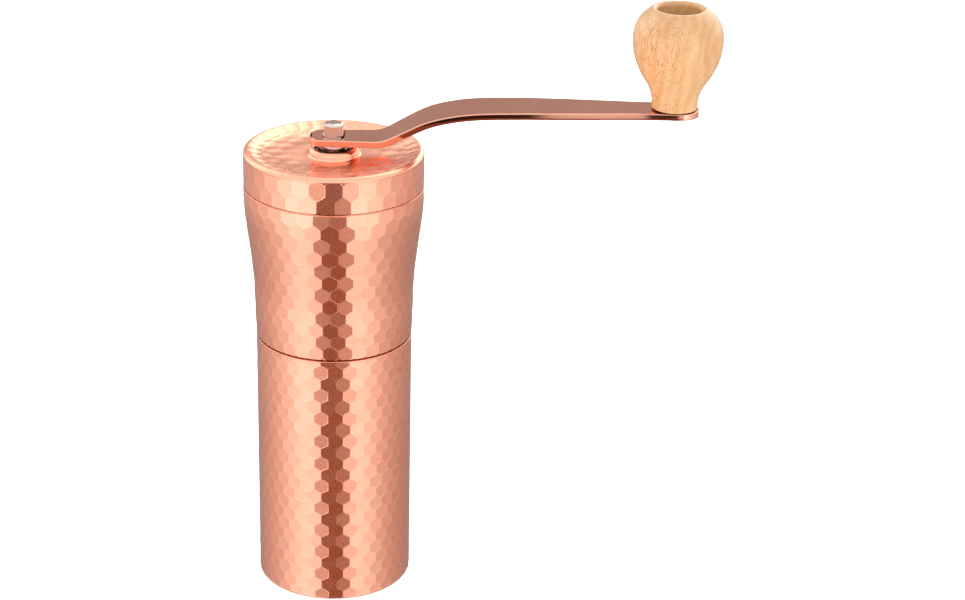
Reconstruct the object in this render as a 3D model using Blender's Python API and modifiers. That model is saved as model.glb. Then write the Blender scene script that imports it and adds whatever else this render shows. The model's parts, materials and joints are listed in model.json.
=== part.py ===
"""Hand coffee mill: a copper tube mill with a lift-off crank, a lift-off lid and a catch cup below.

Built in metres, +Z up, from values in millimetres. The cup's base is at z = 0, the mill's axis is Z,
and the crank points along +X.
"""

import math

import bpy

MM = 0.001
SHELL_SIDES = 48
INNER_SIDES = 36
SMALL_SIDES = 24

# Shells
TUBE_R = 26.0  # cup, and the body's lower end
CUP_H = 89.0
BODY_H = 52.6  # from the cup's rim to the lid's lower edge
FLARE_R = 29.6  # mouth of the body, and the lid
LID_H = 12.2
SHEET = 1.0
CUP_EDGE = 0.8
CUP_FLOOR = 1.2
LID_EDGE = 1.5
LID_DISH = 1.9  # depth of the dished top below its rim
LID_BEAD = 0.6  # height of the beaded edge around the bore, above the rim

# Clearances
SEAM = 0.3  # between shells that meet edge to edge
FIT = 0.3  # between pieces fixed together
RUN = 0.06  # running fit of a shaft or pin
STACK = 0.2  # between washers and what they bear on
SLIP = 0.12  # square key or hexagon in its hole
LOOSE = 0.3  # a turning piece beside a still one

# Burrs and their housing
NECK_DEPTH = 15.0  # how far the housing reaches into the cup
NECK_WALL = 1.8
HOUSING_WALL = 7.4  # from the neck's outside to the ring burr's seat bore
FUNNEL_H = 23.0  # the housing's height above the cup's rim
FUNNEL_LAND = 4.2  # flat top of the funnel, which the bridge sits on
FUNNEL_RIM = 1.5
RING_H = 12.7
RING_DROP = 8.7  # the ring burr's lower face, below the cup's rim
RING_LOW_WALL = 2.2
RING_THROAT_WALL = 4.8
RING_TOP_WALL = 3.2
RING_LEDGE = 1.8
THROAT_DROP = 3.0
TOOTH = 0.9
TOOTH_TWIST = 0.06
GRIND_GAP = 1.1  # radial, at the coarsest setting
CONE_H = 13.2
CONE_BELOW_RING = 1.5
CONE_WAIST = 4.1  # how much narrower the cone is at its top than at its throat
TRAVEL = 1.5  # how far the adjuster lifts the burr
CORE_WALL = 1.65
CORE_FLANGE = 3.2
CORE_FLANGE_T = 2.1
RETAINER_T = 1.8
RETAINER_LAP = 2.0
SEAL_GROOVE = 1.0
SEAL_GROOVE_H = 1.8
SEAL_UP = 3.0
SEAL_INSET = 0.12

# Bridge across the funnel, which carries the shaft
BRIDGE_T = 3.2
HUB_WALL = 2.4
HUB_H = 11.2
BUSH_WALL = 2.1
BRIDGE_ARM_W = 4.4
SCREW_R = 1.0
SCREW_HEAD_R = 1.75
SCREW_HEAD_H = 1.3
SCREW_L = 6.2

# Shaft and what is on it
SHAFT_R = 3.6
HEX_AF = 6.2
HEX_ABOVE_ARM = 4.4
THREAD_DEPTH = 0.1  # the thread's radius below the key's half width
THREAD_END = 2.5  # thread left below the nut
CLIP_T = 0.8
CLIP_LAP = 2.2
CLIP_GAP = 2.4
THRUST_LAP = 3.0
THRUST_T = 0.8
COLLAR_WALL = 0.7
COLLAR_H = 9.3
SPRING_WIRE_R = 0.45
SPRING_LAP = 1.6
SPRING_TURNS = 3.5
PLATE_T = 0.6
NUT_H = 6.4
NUT_LAP = 4.6
NUT_TAPER = 0.8

# Lid insert and bush
PLUG_DEPTH = 6.0
PLUG_WALL = 1.7
PLATE_WALL = 1.4
LID_BUSH_WALL = 1.1
BUSH_FLANGE = 1.4
BUSH_FLANGE_T = 1.0

# Crank arm
ARM_REACH = 110.0  # mill's axis to knob's axis
ARM_RISE = 11.4
ARM_T = 2.2
ARM_ABOVE_LID = 2.25
ARM_EDGE = 0.3
HEEL_R = 7.75
TOE_R = 6.35

# Knob and its pin
KNOB_H = 33.0
KNOB_R = 14.6
MOUTH_R = 7.1
MOUTH_LIP = 0.5
WELL_DEPTH = 8.5
PIN_R = 3.0
PIN_HEAD_R = 5.4
PIN_HEAD_H = 2.4
PIN_SLOT_W = 1.2
PIN_SLOT_DEPTH = 1.1
KNOB_WASHER_R = 6.4
KNOB_WASHER_T = 0.5
PIN_COLLAR_R = 4.6
PIN_COLLAR_T = 1.6

# Body outline: share of its height, share of its flare
FLARE = ((0.0, 0.0), (0.18, 0.1), (0.35, 0.165), (0.52, 0.38), (0.7, 0.7), (0.85, 0.955), (0.93, 1.0), (1.0, 1.0))
# Arm bend: distance from the mill's axis, share of the rise
BEND = ((13.0, 0.0), (16.0, 0.045), (22.0, 0.315), (30.0, 0.667), (38.0, 0.86), (47.0, 0.96), (62.0, 1.0))
# Arm outline: distance from the mill's axis, half its width
HEEL_HALF = ((-5.0, 5.65), (8.0, 6.0), (14.0, 6.4), (22.0, 7.65), (34.0, 8.45))
# The same, from the knob's axis
TOE_HALF = ((-50.0, 8.38), (-38.0, 8.0), (-25.0, 7.3), (-12.0, 6.4), (1.65, TOE_R))
# Knob outline: share of its height, share of its radius
PEAR = (
    (0.0, 0.515), (0.09, 0.525), (0.2, 0.605), (0.33, 0.785), (0.5, 0.945), (0.66, 1.0), (0.8, 0.962),
    (0.915, 0.82), (0.985, 0.63),
)

# Levels and radii that follow from the sizes above
BODY_Z0 = CUP_H + SEAM
LID_Z0 = CUP_H + BODY_H
LID_Z1 = LID_Z0 + LID_H
HEX_R = HEX_AF / math.sqrt(3)
KEY_HALF = (SHAFT_R - RUN) / math.sqrt(2)
THREAD_R = KEY_HALF - THREAD_DEPTH
CORE_R = KEY_HALF * math.sqrt(2) + CORE_WALL
SPRING_R = SHAFT_R + SPRING_LAP
HUB_BORE_R = SHAFT_R + RUN + BUSH_WALL + FIT
HUB_R = HUB_BORE_R + HUB_WALL
COLLAR_BORE_R = max(SHAFT_R, HEX_R) + FIT
COLLAR_R = COLLAR_BORE_R + COLLAR_WALL
LID_BORE_R = COLLAR_R + LOOSE + LID_BUSH_WALL + FIT
CUP_BORE_R = TUBE_R - SHEET
NECK_R = CUP_BORE_R - FIT
NECK_Z0 = CUP_H - NECK_DEPTH
FUNNEL_Z1 = CUP_H + FUNNEL_H
RING_R = NECK_R - HOUSING_WALL - FIT
RING_Z0 = CUP_H - RING_DROP
RING_Z1 = RING_Z0 + RING_H
THROAT_Z = CUP_H - THROAT_DROP
RING_LOW_R = RING_R - RING_LOW_WALL
RING_THROAT_R = RING_R - RING_THROAT_WALL
CONE_Z0 = RING_Z0 - CONE_BELOW_RING
CONE_Z1 = CONE_Z0 + CONE_H
CORE_Z1 = CONE_Z1 - 0.5
CORE_Z0 = CONE_Z0 - STACK - CORE_FLANGE_T
CONE_BORE_R = CORE_R + FIT
NUT_Z1 = CORE_Z0 - PLATE_T - 2 * STACK
NUT_Z0 = NUT_Z1 - NUT_H
KEY_Z0 = NUT_Z1 + TRAVEL + 0.4
KEY_Z1 = CORE_Z1 + TRAVEL + 0.6
BRIDGE_Z0 = FUNNEL_Z1 + STACK
BRIDGE_Z1 = BRIDGE_Z0 + BRIDGE_T
HUB_Z0 = BRIDGE_Z0 - HUB_H
BUSH_Z1 = BRIDGE_Z1 + 0.3
THRUST_Z0 = HUB_Z0 - THRUST_T - 2 * STACK
LID_FLOOR = LID_Z1 - LID_DISH
PLATE_Z1 = LID_FLOOR - SHEET - FIT
PLATE_Z0 = PLATE_Z1 - PLATE_WALL
ARM_Z0 = LID_Z1 + ARM_ABOVE_LID
ARM_Z1 = ARM_Z0 + ARM_T
SHAFT_Z1 = ARM_Z1 + HEX_ABOVE_ARM
COLLAR_Z1 = ARM_Z0 - STACK
COLLAR_Z0 = COLLAR_Z1 - COLLAR_H
TOE_Z1 = ARM_Z1 + ARM_RISE
TOE_Z0 = TOE_Z1 - ARM_T
KNOB_Z0 = TOE_Z1 + KNOB_WASHER_T + 2 * STACK
KNOB_Z1 = KNOB_Z0 + KNOB_H
WELL_Z = KNOB_Z1 - WELL_DEPTH
PIN_HEAD_Z0 = WELL_Z + STACK
PIN_HEAD_Z1 = PIN_HEAD_Z0 + PIN_HEAD_H
PIN_COLLAR_Z1 = TOE_Z0 - STACK
PIN_Z0 = PIN_COLLAR_Z1 - PIN_COLLAR_T - 0.6
KNOB_AT = (ARM_REACH, 0.0)

# Colour, metallic, roughness
SATIN_COPPER = ((0.83, 0.50, 0.36, 1.0), 1.0, 0.3)
BRIGHT_COPPER = ((0.86, 0.55, 0.42, 1.0), 1.0, 0.08)
STEEL = ((0.62, 0.61, 0.60, 1.0), 1.0, 0.35)
CHROME = ((0.80, 0.80, 0.81, 1.0), 1.0, 0.08)
BLACK_PLASTIC = ((0.03, 0.03, 0.03, 1.0), 0.0, 0.5)
CERAMIC = ((0.88, 0.86, 0.80, 1.0), 0.0, 0.4)
BEECH = ((0.72, 0.47, 0.25, 1.0), 0.0, 0.4)
BRONZE = ((0.60, 0.42, 0.20, 1.0), 1.0, 0.4)
RUBBER = ((0.05, 0.05, 0.05, 1.0), 0.0, 0.6)


def clear_scene():
    for obj in list(bpy.data.objects):
        bpy.data.objects.remove(obj, do_unlink=True)


def add_collection(name):
    found = bpy.data.collections.new(name)
    bpy.context.scene.collection.children.link(found)
    return found


def paint(obj, look):
    """Give a piece its own material."""
    colour, metallic, roughness = look
    material = bpy.data.materials.new(obj.name)
    material.use_nodes = True
    shader = material.node_tree.nodes["Principled BSDF"]
    shader.inputs["Base Color"].default_value = colour
    shader.inputs["Metallic"].default_value = metallic
    shader.inputs["Roughness"].default_value = roughness
    obj.data.materials.append(material)


def add_mesh(name, points, edges, faces, at=(0.0, 0.0), cutter=False):
    """A mesh object whose origin is on the upright axis at `at`; points are in mm from that axis."""
    mesh = bpy.data.meshes.new(name)
    mesh.from_pydata([(x * MM, y * MM, z * MM) for x, y, z in points], edges, faces)
    mesh.update()
    obj = bpy.data.objects.new(name, mesh)
    obj.location = (at[0] * MM, at[1] * MM, 0.0)
    if cutter:
        CUTTERS.objects.link(obj)
        obj.hide_render = True
        obj.display_type = "WIRE"
    else:
        PARTS.objects.link(obj)
    return obj


def turned(name, profile, sides=SMALL_SIDES, closed=True, at=(0.0, 0.0), cutter=False):
    """A profile of (radius, height), listed down its outer side, turned about an upright axis."""
    count = len(profile)
    edges = [(i, i + 1) for i in range(count - 1)]
    if closed:
        edges.append((count - 1, 0))
    obj = add_mesh(name, [(r, 0.0, z) for r, z in profile], edges, [], at, cutter)
    screw = obj.modifiers.new("turn", "SCREW")
    screw.steps = sides
    screw.render_steps = sides
    screw.use_merge_vertices = True
    screw.merge_threshold = 0.000001
    return obj


def tube(name, inner, outer, z0, z1, sides=SMALL_SIDES, at=(0.0, 0.0), cutter=False):
    profile = [(outer, z1), (outer, z0), (inner, z0), (inner, z1)]
    return turned(name, profile, sides, True, at, cutter)


def rod(name, radius, z0, z1, sides=SMALL_SIDES, at=(0.0, 0.0), cutter=False):
    profile = [(0.0, z1), (radius, z1), (radius, z0), (0.0, z0)]
    return turned(name, profile, sides, False, at, cutter)


def prism(name, corners, z0, z1, at=(0.0, 0.0)):
    """A cutter: an upright prism on corners given anticlockwise from above."""
    count = len(corners)
    points = [(x, y, z0) for x, y in corners] + [(x, y, z1) for x, y in corners]
    faces = [tuple(reversed(range(count))), tuple(range(count, 2 * count))]
    for i in range(count):
        j = (i + 1) % count
        faces.append((i, j, j + count, i + count))
    return add_mesh(name, points, [], faces, at, True)


def polygon(radius, sides, turn=0.0):
    step = 2 * math.pi / sides
    return [(radius * math.cos(turn + i * step), radius * math.sin(turn + i * step)) for i in range(sides)]


def rectangle(x0, x1, half, turn=0.0):
    """Corners of a rectangle that runs from x0 to x1, turned about the origin."""
    cos, sin = math.cos(turn), math.sin(turn)
    corners = ((x0, -half), (x1, -half), (x1, half), (x0, half))
    return [(x * cos - y * sin, x * sin + y * cos) for x, y in corners]


def combine(obj, operation, *others):
    for other in others:
        modifier = obj.modifiers.new(other.name, "BOOLEAN")
        modifier.operation = operation
        modifier.solver = "EXACT"
        modifier.object = other


def smooth(table, at):
    """The value at a place on the smooth curve through a table's (place, value) points."""
    last = len(table) - 1
    if at <= table[0][0]:
        return table[0][1]
    if at >= table[last][0]:
        return table[last][1]
    i = max(k for k in range(last) if table[k][0] <= at)

    def slope(k):
        low, high = max(k - 1, 0), min(k + 1, last)
        return (table[high][1] - table[low][1]) / (table[high][0] - table[low][0])

    (x0, y0), (x1, y1) = table[i], table[i + 1]
    run = x1 - x0
    t = (at - x0) / run
    rise = y0 * (1 + 2 * t) * (1 - t) ** 2 + y1 * t * t * (3 - 2 * t)
    return rise + run * (slope(i) * t * (1 - t) ** 2 - slope(i + 1) * t * t * (1 - t))


def body_r(z):
    """Outer radius of the body at a height."""
    return TUBE_R + (FLARE_R - TUBE_R) * smooth(FLARE, (z - BODY_Z0) / (LID_Z0 - BODY_Z0))


def toothed(name, levels, plain_r, outside, twist=0.0):
    """A ring with teeth on one side and a plain wall on the other.

    Levels are (radius, height) from the top down, at the tips of the teeth.
    """
    sides = SHELL_SIDES
    depth = -TOOTH if outside else TOOTH
    rows = [(r, z, depth, i) for i, (r, z) in enumerate(levels)]
    rows.append((plain_r, levels[-1][1], 0.0, len(levels) - 1))
    rows.append((plain_r, levels[0][1], 0.0, 0))
    points = []
    for radius, z, cut, row in rows:
        for i in range(sides):
            turn = 2 * math.pi * i / sides + twist * row
            r = radius + cut * (i % 2)
            points.append((r * math.cos(turn), r * math.sin(turn), z))
    faces = []
    for row in range(len(rows)):
        below = (row + 1) % len(rows)
        for i in range(sides):
            j = (i + 1) % sides
            face = (row * sides + i, below * sides + i, below * sides + j, row * sides + j)
            faces.append(face if outside else face[::-1])
    return add_mesh(name, points, [], faces)


def build_cup():
    profile = [
        (0.0, CUP_FLOOR), (CUP_BORE_R - 2.0, CUP_FLOOR), (CUP_BORE_R - 0.6, CUP_FLOOR + 0.6),
        (CUP_BORE_R, CUP_FLOOR + 2.0), (CUP_BORE_R, CUP_H), (TUBE_R - 0.3, CUP_H), (TUBE_R, CUP_H - 0.3),
        (TUBE_R, CUP_EDGE), (TUBE_R - 0.3 * CUP_EDGE, 0.3 * CUP_EDGE), (TUBE_R - CUP_EDGE, 0.0), (0.0, 0.0),
    ]
    paint(turned("catch_cup", profile, SHELL_SIDES, False), SATIN_COPPER)


def build_body_shell():
    rows = 12
    heights = [BODY_Z0 + (LID_Z0 - SEAM - BODY_Z0) * i / rows for i in range(rows + 1)]
    outside = [(body_r(z), z) for z in reversed(heights)]
    inside = [(body_r(z) - SHEET, z) for z in heights]
    paint(turned("body_shell", outside + inside, SHELL_SIDES), SATIN_COPPER)


def bridge_turns():
    return [math.pi / 2 + i * 2 * math.pi / 3 for i in range(3)]


def build_housing():
    """Housing in the body's lower end, the ring burr in it, and the bridge screwed on top."""
    rim_r = body_r(FUNNEL_Z1) - SHEET - FIT
    land_r = rim_r - FUNNEL_LAND
    retainer_r = RING_R + RETAINER_LAP
    step_z = RING_Z0 - 2 * STACK - RETAINER_T - 0.5
    groove_z0 = NECK_Z0 + SEAL_UP
    groove_z1 = groove_z0 + SEAL_GROOVE_H
    groove_r = NECK_R - SEAL_GROOVE
    outside = [(body_r(z) - SHEET - FIT, z) for z in (FUNNEL_Z1, CUP_H + 0.75 * FUNNEL_H, CUP_H + 0.5 * FUNNEL_H)]
    outside += [
        (NECK_R, CUP_H + 0.1 * FUNNEL_H), (NECK_R, groove_z1), (groove_r, groove_z1), (groove_r, groove_z0),
        (NECK_R, groove_z0), (NECK_R, NECK_Z0),
    ]
    inside = [
        (NECK_R - NECK_WALL, NECK_Z0), (NECK_R - NECK_WALL, step_z), (retainer_r + FIT, step_z),
        (retainer_r + FIT, RING_Z0 - STACK), (RING_R + FIT, RING_Z0 - STACK), (RING_R + FIT, RING_Z1 + FIT),
        (RING_R - RING_LEDGE, RING_Z1 + FIT), (RING_R - RING_LEDGE, RING_Z1 + FUNNEL_RIM),
        (land_r, FUNNEL_Z1 - FUNNEL_RIM), (land_r, FUNNEL_Z1),
    ]
    housing = turned("grind_housing", outside + inside, INNER_SIDES)
    paint(housing, BLACK_PLASTIC)

    seal_out = CUP_BORE_R - SEAL_INSET
    seal_in = groove_r + SEAL_INSET
    wire_r = (seal_out - seal_in) / 2
    section = [
        (seal_in + wire_r * (1 + x), (groove_z0 + groove_z1) / 2 + wire_r * z)
        for x, z in reversed(polygon(1.0, 6, math.pi / 2))
    ]
    paint(turned("neck_seal", section, INNER_SIDES), RUBBER)

    bridge_r = body_r(BRIDGE_Z0) - SHEET - FIT
    bridge = tube("bridge", land_r + 0.4, bridge_r, BRIDGE_Z0, BRIDGE_Z1, INNER_SIDES)
    for i, turn in enumerate(bridge_turns()):
        corners = rectangle((HUB_R + HUB_BORE_R) / 2, land_r + 1.4, BRIDGE_ARM_W / 2, turn)
        combine(bridge, "UNION", prism(f"bridge_arm_{i}", corners, BRIDGE_Z0, BRIDGE_Z1))
    hub = tube("bridge_hub", HUB_BORE_R, HUB_R, HUB_Z0, BRIDGE_Z1, cutter=True)
    combine(bridge, "UNION", hub)
    paint(bridge, BLACK_PLASTIC)

    circle_r = (land_r + bridge_r) / 2
    head_z0 = BRIDGE_Z1 + STACK
    tip_z = BRIDGE_Z0 - SCREW_L
    for i, turn in enumerate(bridge_turns()):
        at = (circle_r * math.cos(turn), circle_r * math.sin(turn))
        hole = rod(f"screw_hole_{i}", SCREW_R + FIT, tip_z - FIT, BRIDGE_Z1 + 1.0, 12, at, True)
        combine(bridge, "DIFFERENCE", hole)
        combine(housing, "DIFFERENCE", hole)
        profile = [
            (0.0, head_z0 + SCREW_HEAD_H), (0.8 * SCREW_HEAD_R, head_z0 + 0.85 * SCREW_HEAD_H),
            (SCREW_HEAD_R, head_z0 + 0.4 * SCREW_HEAD_H), (SCREW_HEAD_R, head_z0), (SCREW_R, head_z0),
            (SCREW_R, tip_z + 0.6), (SCREW_R - 0.4, tip_z), (0.0, tip_z),
        ]
        paint(turned(f"bridge_screw_{i + 1}", profile, 12, False, at), STEEL)

    bush = tube("bridge_bush", SHAFT_R + RUN, HUB_BORE_R - FIT, HUB_Z0 + STACK, BUSH_Z1)
    paint(bush, BRONZE)

    levels = [(RING_R - RING_TOP_WALL, RING_Z1), (RING_THROAT_R, THROAT_Z), (RING_LOW_R, RING_Z0)]
    paint(toothed("ring_burr", levels, RING_R, False, TOOTH_TWIST), CERAMIC)
    retainer_z1 = RING_Z0 - 2 * STACK
    retainer = tube(
        "burr_retainer", RING_LOW_R + 0.4, retainer_r, retainer_z1 - RETAINER_T, retainer_z1, INNER_SIDES
    )
    paint(retainer, BLACK_PLASTIC)


def build_lid():
    """Lid with a dished top and a beaded bore, its plug, and the bush that guides the shaft."""
    bead_r = LID_BORE_R + 1.5
    outside = [
        (LID_BORE_R, LID_Z1 + 0.1), (LID_BORE_R + 0.2, LID_Z1 + 0.8 * LID_BEAD), (LID_BORE_R + 0.65, LID_Z1 + LID_BEAD),
        (LID_BORE_R + 1.1, LID_Z1 + 0.5 * LID_BEAD), (bead_r, LID_FLOOR + 0.3), (bead_r + 0.7, LID_FLOOR),
        (0.62 * FLARE_R, LID_FLOOR + 0.13 * LID_DISH), (0.85 * FLARE_R, LID_FLOOR + 0.53 * LID_DISH),
        (FLARE_R - 1.5 * LID_EDGE, LID_Z1 - 0.1 * LID_DISH), (FLARE_R - LID_EDGE, LID_Z1),
        (FLARE_R - 0.5 * LID_EDGE, LID_Z1 - 0.134 * LID_EDGE),
        (FLARE_R - 0.134 * LID_EDGE, LID_Z1 - 0.5 * LID_EDGE), (FLARE_R, LID_Z1 - LID_EDGE),
        (FLARE_R, LID_Z0 + 0.3), (FLARE_R - 0.2, LID_Z0),
    ]
    inside = [
        (FLARE_R - SHEET, LID_Z0), (FLARE_R - SHEET, LID_Z1 - LID_EDGE - SHEET),
        (FLARE_R - LID_EDGE - SHEET, LID_FLOOR + 0.3), (0.62 * FLARE_R, LID_FLOOR - SHEET + 0.1),
        (LID_BORE_R, LID_FLOOR - SHEET),
    ]
    paint(turned("lid", outside + inside, SHELL_SIDES), SATIN_COPPER)

    plug_r = FLARE_R - SHEET - FIT - 0.2
    plug_z0 = LID_Z0 - PLUG_DEPTH
    profile = [
        (plug_r - 2.0, PLATE_Z1), (plug_r, PLATE_Z1 - 1.2), (plug_r, plug_z0 + 0.8), (plug_r - 0.7, plug_z0),
        (plug_r - PLUG_WALL, plug_z0), (plug_r - PLUG_WALL, PLATE_Z0 - 1.0), (plug_r - PLUG_WALL - 1.0, PLATE_Z0),
        (LID_BORE_R, PLATE_Z0), (LID_BORE_R, PLATE_Z1),
    ]
    paint(turned("lid_insert", profile, INNER_SIDES), BLACK_PLASTIC)

    bush_out = LID_BORE_R - FIT
    bush_in = COLLAR_R + LOOSE
    bush_z1 = LID_Z1 - 0.5
    flange_z1 = PLATE_Z0 - STACK
    flange_z0 = flange_z1 - BUSH_FLANGE_T
    profile = [
        (bush_out, bush_z1), (bush_out, flange_z1), (bush_out + BUSH_FLANGE, flange_z1),
        (bush_out + BUSH_FLANGE, flange_z0), (bush_in, flange_z0), (bush_in, bush_z1),
    ]
    paint(turned("lid_bush", profile), BLACK_PLASTIC)


def build_shaft():
    """Shaft: thread and square key below, round through the bridge, hexagon on top."""
    hex_z0 = COLLAR_Z0 + 1.0
    shaft = rod("drive_shaft", SHAFT_R, KEY_Z1, hex_z0)
    head = prism("hex_head", polygon(HEX_R, 6, math.pi / 2), COLLAR_Z0, SHAFT_Z1)
    chamfer = [
        (0.0, SHAFT_Z1 - 0.1), (HEX_AF / 2 - 0.5, SHAFT_Z1 - 0.15), (HEX_AF / 2 + 0.1, SHAFT_Z1 - 0.6),
        (HEX_R + 0.8, SHAFT_Z1 - 1.3), (HEX_R + 0.8, COLLAR_Z0 - 1.0), (0.0, COLLAR_Z0 - 1.0),
    ]
    combine(head, "INTERSECT", turned("head_chamfer", chamfer, closed=False, cutter=True))
    key = prism("shaft_key", rectangle(-KEY_HALF, KEY_HALF, KEY_HALF), KEY_Z0, KEY_Z1 + 0.5)
    thread_z0 = NUT_Z0 - THREAD_END
    thread = [
        (0.0, KEY_Z0 + 0.5), (THREAD_R, KEY_Z0 + 0.5), (THREAD_R, thread_z0 + 0.5), (THREAD_R - 0.5, thread_z0),
        (0.0, thread_z0),
    ]
    combine(shaft, "UNION", head, key, turned("shaft_thread", thread, closed=False, cutter=True))
    paint(shaft, STEEL)

    profile = [
        (COLLAR_R - 0.3, COLLAR_Z1), (COLLAR_R, COLLAR_Z1 - 0.3), (COLLAR_R, COLLAR_Z0),
        (COLLAR_BORE_R, COLLAR_Z0), (COLLAR_BORE_R, COLLAR_Z1),
    ]
    paint(turned("shaft_collar", profile), CHROME)

    clip_z0 = BUSH_Z1 + STACK
    clip = tube("shaft_clip", SHAFT_R + RUN, SHAFT_R + CLIP_LAP, clip_z0, clip_z0 + CLIP_T)
    gap = rectangle(1.0, SHAFT_R + CLIP_LAP + 1.0, CLIP_GAP / 2, math.pi / 2)
    combine(clip, "DIFFERENCE", prism("clip_gap", gap, clip_z0 - 1.0, clip_z0 + CLIP_T + 1.0))
    paint(clip, STEEL)
    paint(tube("thrust_washer", SHAFT_R + FIT, SHAFT_R + THRUST_LAP, THRUST_Z0, THRUST_Z0 + THRUST_T), STEEL)


def build_burr():
    """Cone burr, its keyed core, the click plate and the adjusting nut."""
    slope = (RING_THROAT_R - RING_LOW_R) / (THROAT_Z - RING_Z0)
    throat_r = RING_THROAT_R - GRIND_GAP
    low_r = RING_LOW_R - GRIND_GAP + slope * (CONE_Z0 - RING_Z0)
    top_r = max(throat_r - CONE_WAIST, CONE_BORE_R + TOOTH + 0.6)
    levels = [(top_r, CONE_Z1), (throat_r, THROAT_Z), (low_r, CONE_Z0)]
    paint(toothed("cone_burr", levels, CONE_BORE_R, True, -TOOTH_TWIST), CERAMIC)

    flange_r = CORE_R + CORE_FLANGE
    flange_z1 = CONE_Z0 - STACK
    profile = [
        (CORE_R, CORE_Z1), (CORE_R, flange_z1), (flange_r, flange_z1), (flange_r, CORE_Z0), (1.0, CORE_Z0),
        (1.0, CORE_Z1),
    ]
    core = turned("burr_core", profile)
    half = KEY_HALF + SLIP
    combine(core, "DIFFERENCE", prism("core_key", rectangle(-half, half, half), CORE_Z0 - 1.0, CORE_Z1 + 1.0))
    paint(core, BLACK_PLASTIC)

    plate_z0 = NUT_Z1 + STACK
    key_corner = KEY_HALF * math.sqrt(2)
    paint(tube("click_plate", key_corner + FIT, CORE_R + 2.4, plate_z0, plate_z0 + PLATE_T), STEEL)

    nut_r = CORE_R + NUT_LAP
    levels = [(nut_r, NUT_Z1), (nut_r, (NUT_Z0 + NUT_Z1) / 2), (nut_r - NUT_TAPER, NUT_Z0)]
    paint(toothed("adjust_nut", levels, THREAD_R + 0.1, True), BLACK_PLASTIC)


def build_spring():
    z0 = CONE_Z1 + FIT + SPRING_WIRE_R
    z1 = THRUST_Z0 - FIT - SPRING_WIRE_R
    per_turn = 14
    steps = int(SPRING_TURNS * per_turn)
    curve = bpy.data.curves.new("burr_spring", "CURVE")
    curve.dimensions = "3D"
    spline = curve.splines.new("POLY")
    spline.points.add(steps)
    for i, point in enumerate(spline.points):
        turn = 2 * math.pi * i / per_turn
        z = z0 + (z1 - z0) * i / steps
        point.co = (SPRING_R * MM * math.cos(turn), SPRING_R * MM * math.sin(turn), z * MM, 1.0)
    curve.bevel_depth = SPRING_WIRE_R * MM
    curve.bevel_resolution = 2
    curve.use_fill_caps = True
    spring = bpy.data.objects.new("burr_spring", curve)
    PARTS.objects.link(spring)
    paint(spring, STEEL)


def arm_outline():
    """Stations along the arm as (distance from the mill's axis, half width), heel to toe."""
    half_at = HEEL_HALF + tuple((ARM_REACH + x, half) for x, half in TOE_HALF)
    heel_x = HEEL_HALF[0][0]
    heel_turn = math.acos(-heel_x / HEEL_R)
    arcs = 4
    found = []
    for i in range(arcs):
        turn = heel_turn * i / arcs
        found.append((-HEEL_R * math.cos(turn), HEEL_R * math.sin(turn)))
    toe_x = half_at[-1][0]
    places = {heel_x, 2.0} | {x for x, _ in half_at} | {x for x, _ in BEND} | {26.0, 34.0, 42.0}
    found += [(x, smooth(half_at, x)) for x in sorted(places)]
    for i in range(1, arcs + 1):
        turn = math.pi / 2 * i / arcs
        found.append((toe_x + TOE_R * math.sin(turn), TOE_R * math.cos(turn)))
    return found


def build_arm():
    """Crank arm: a sheet along the bend, thickened, with a hexagon and a pin hole."""
    points = []
    rows = []
    for x, half in arm_outline():
        z = ARM_Z1 + ARM_RISE * smooth(BEND, x)
        sides = (-half, half) if half > 0.01 else (0.0,)
        rows.append([len(points) + i for i in range(len(sides))])
        points += [(x, y, z) for y in sides]
    faces = [tuple(near + far[::-1]) for near, far in zip(rows, rows[1:])]
    arm = add_mesh("crank_arm", points, [], faces)
    sheet = arm.modifiers.new("thickness", "SOLIDIFY")
    sheet.thickness = ARM_T * MM
    sheet.offset = 1.0
    sheet.use_even_offset = True
    edge = arm.modifiers.new("edge", "BEVEL")
    edge.width = ARM_EDGE * MM
    edge.segments = 1
    edge.limit_method = "ANGLE"
    edge.angle_limit = math.radians(50)
    hexagon = polygon((HEX_AF + 2 * SLIP) / math.sqrt(3), 6, math.pi / 2)
    pin_hole = rod("arm_pin_hole", PIN_R + FIT, TOE_Z0 - 2.0, TOE_Z1 + 2.0, SMALL_SIDES, KNOB_AT, True)
    combine(arm, "DIFFERENCE", prism("arm_hexagon", hexagon, ARM_Z0 - 2.0, ARM_Z1 + 2.0), pin_hole)
    paint(arm, BRIGHT_COPPER)


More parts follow.
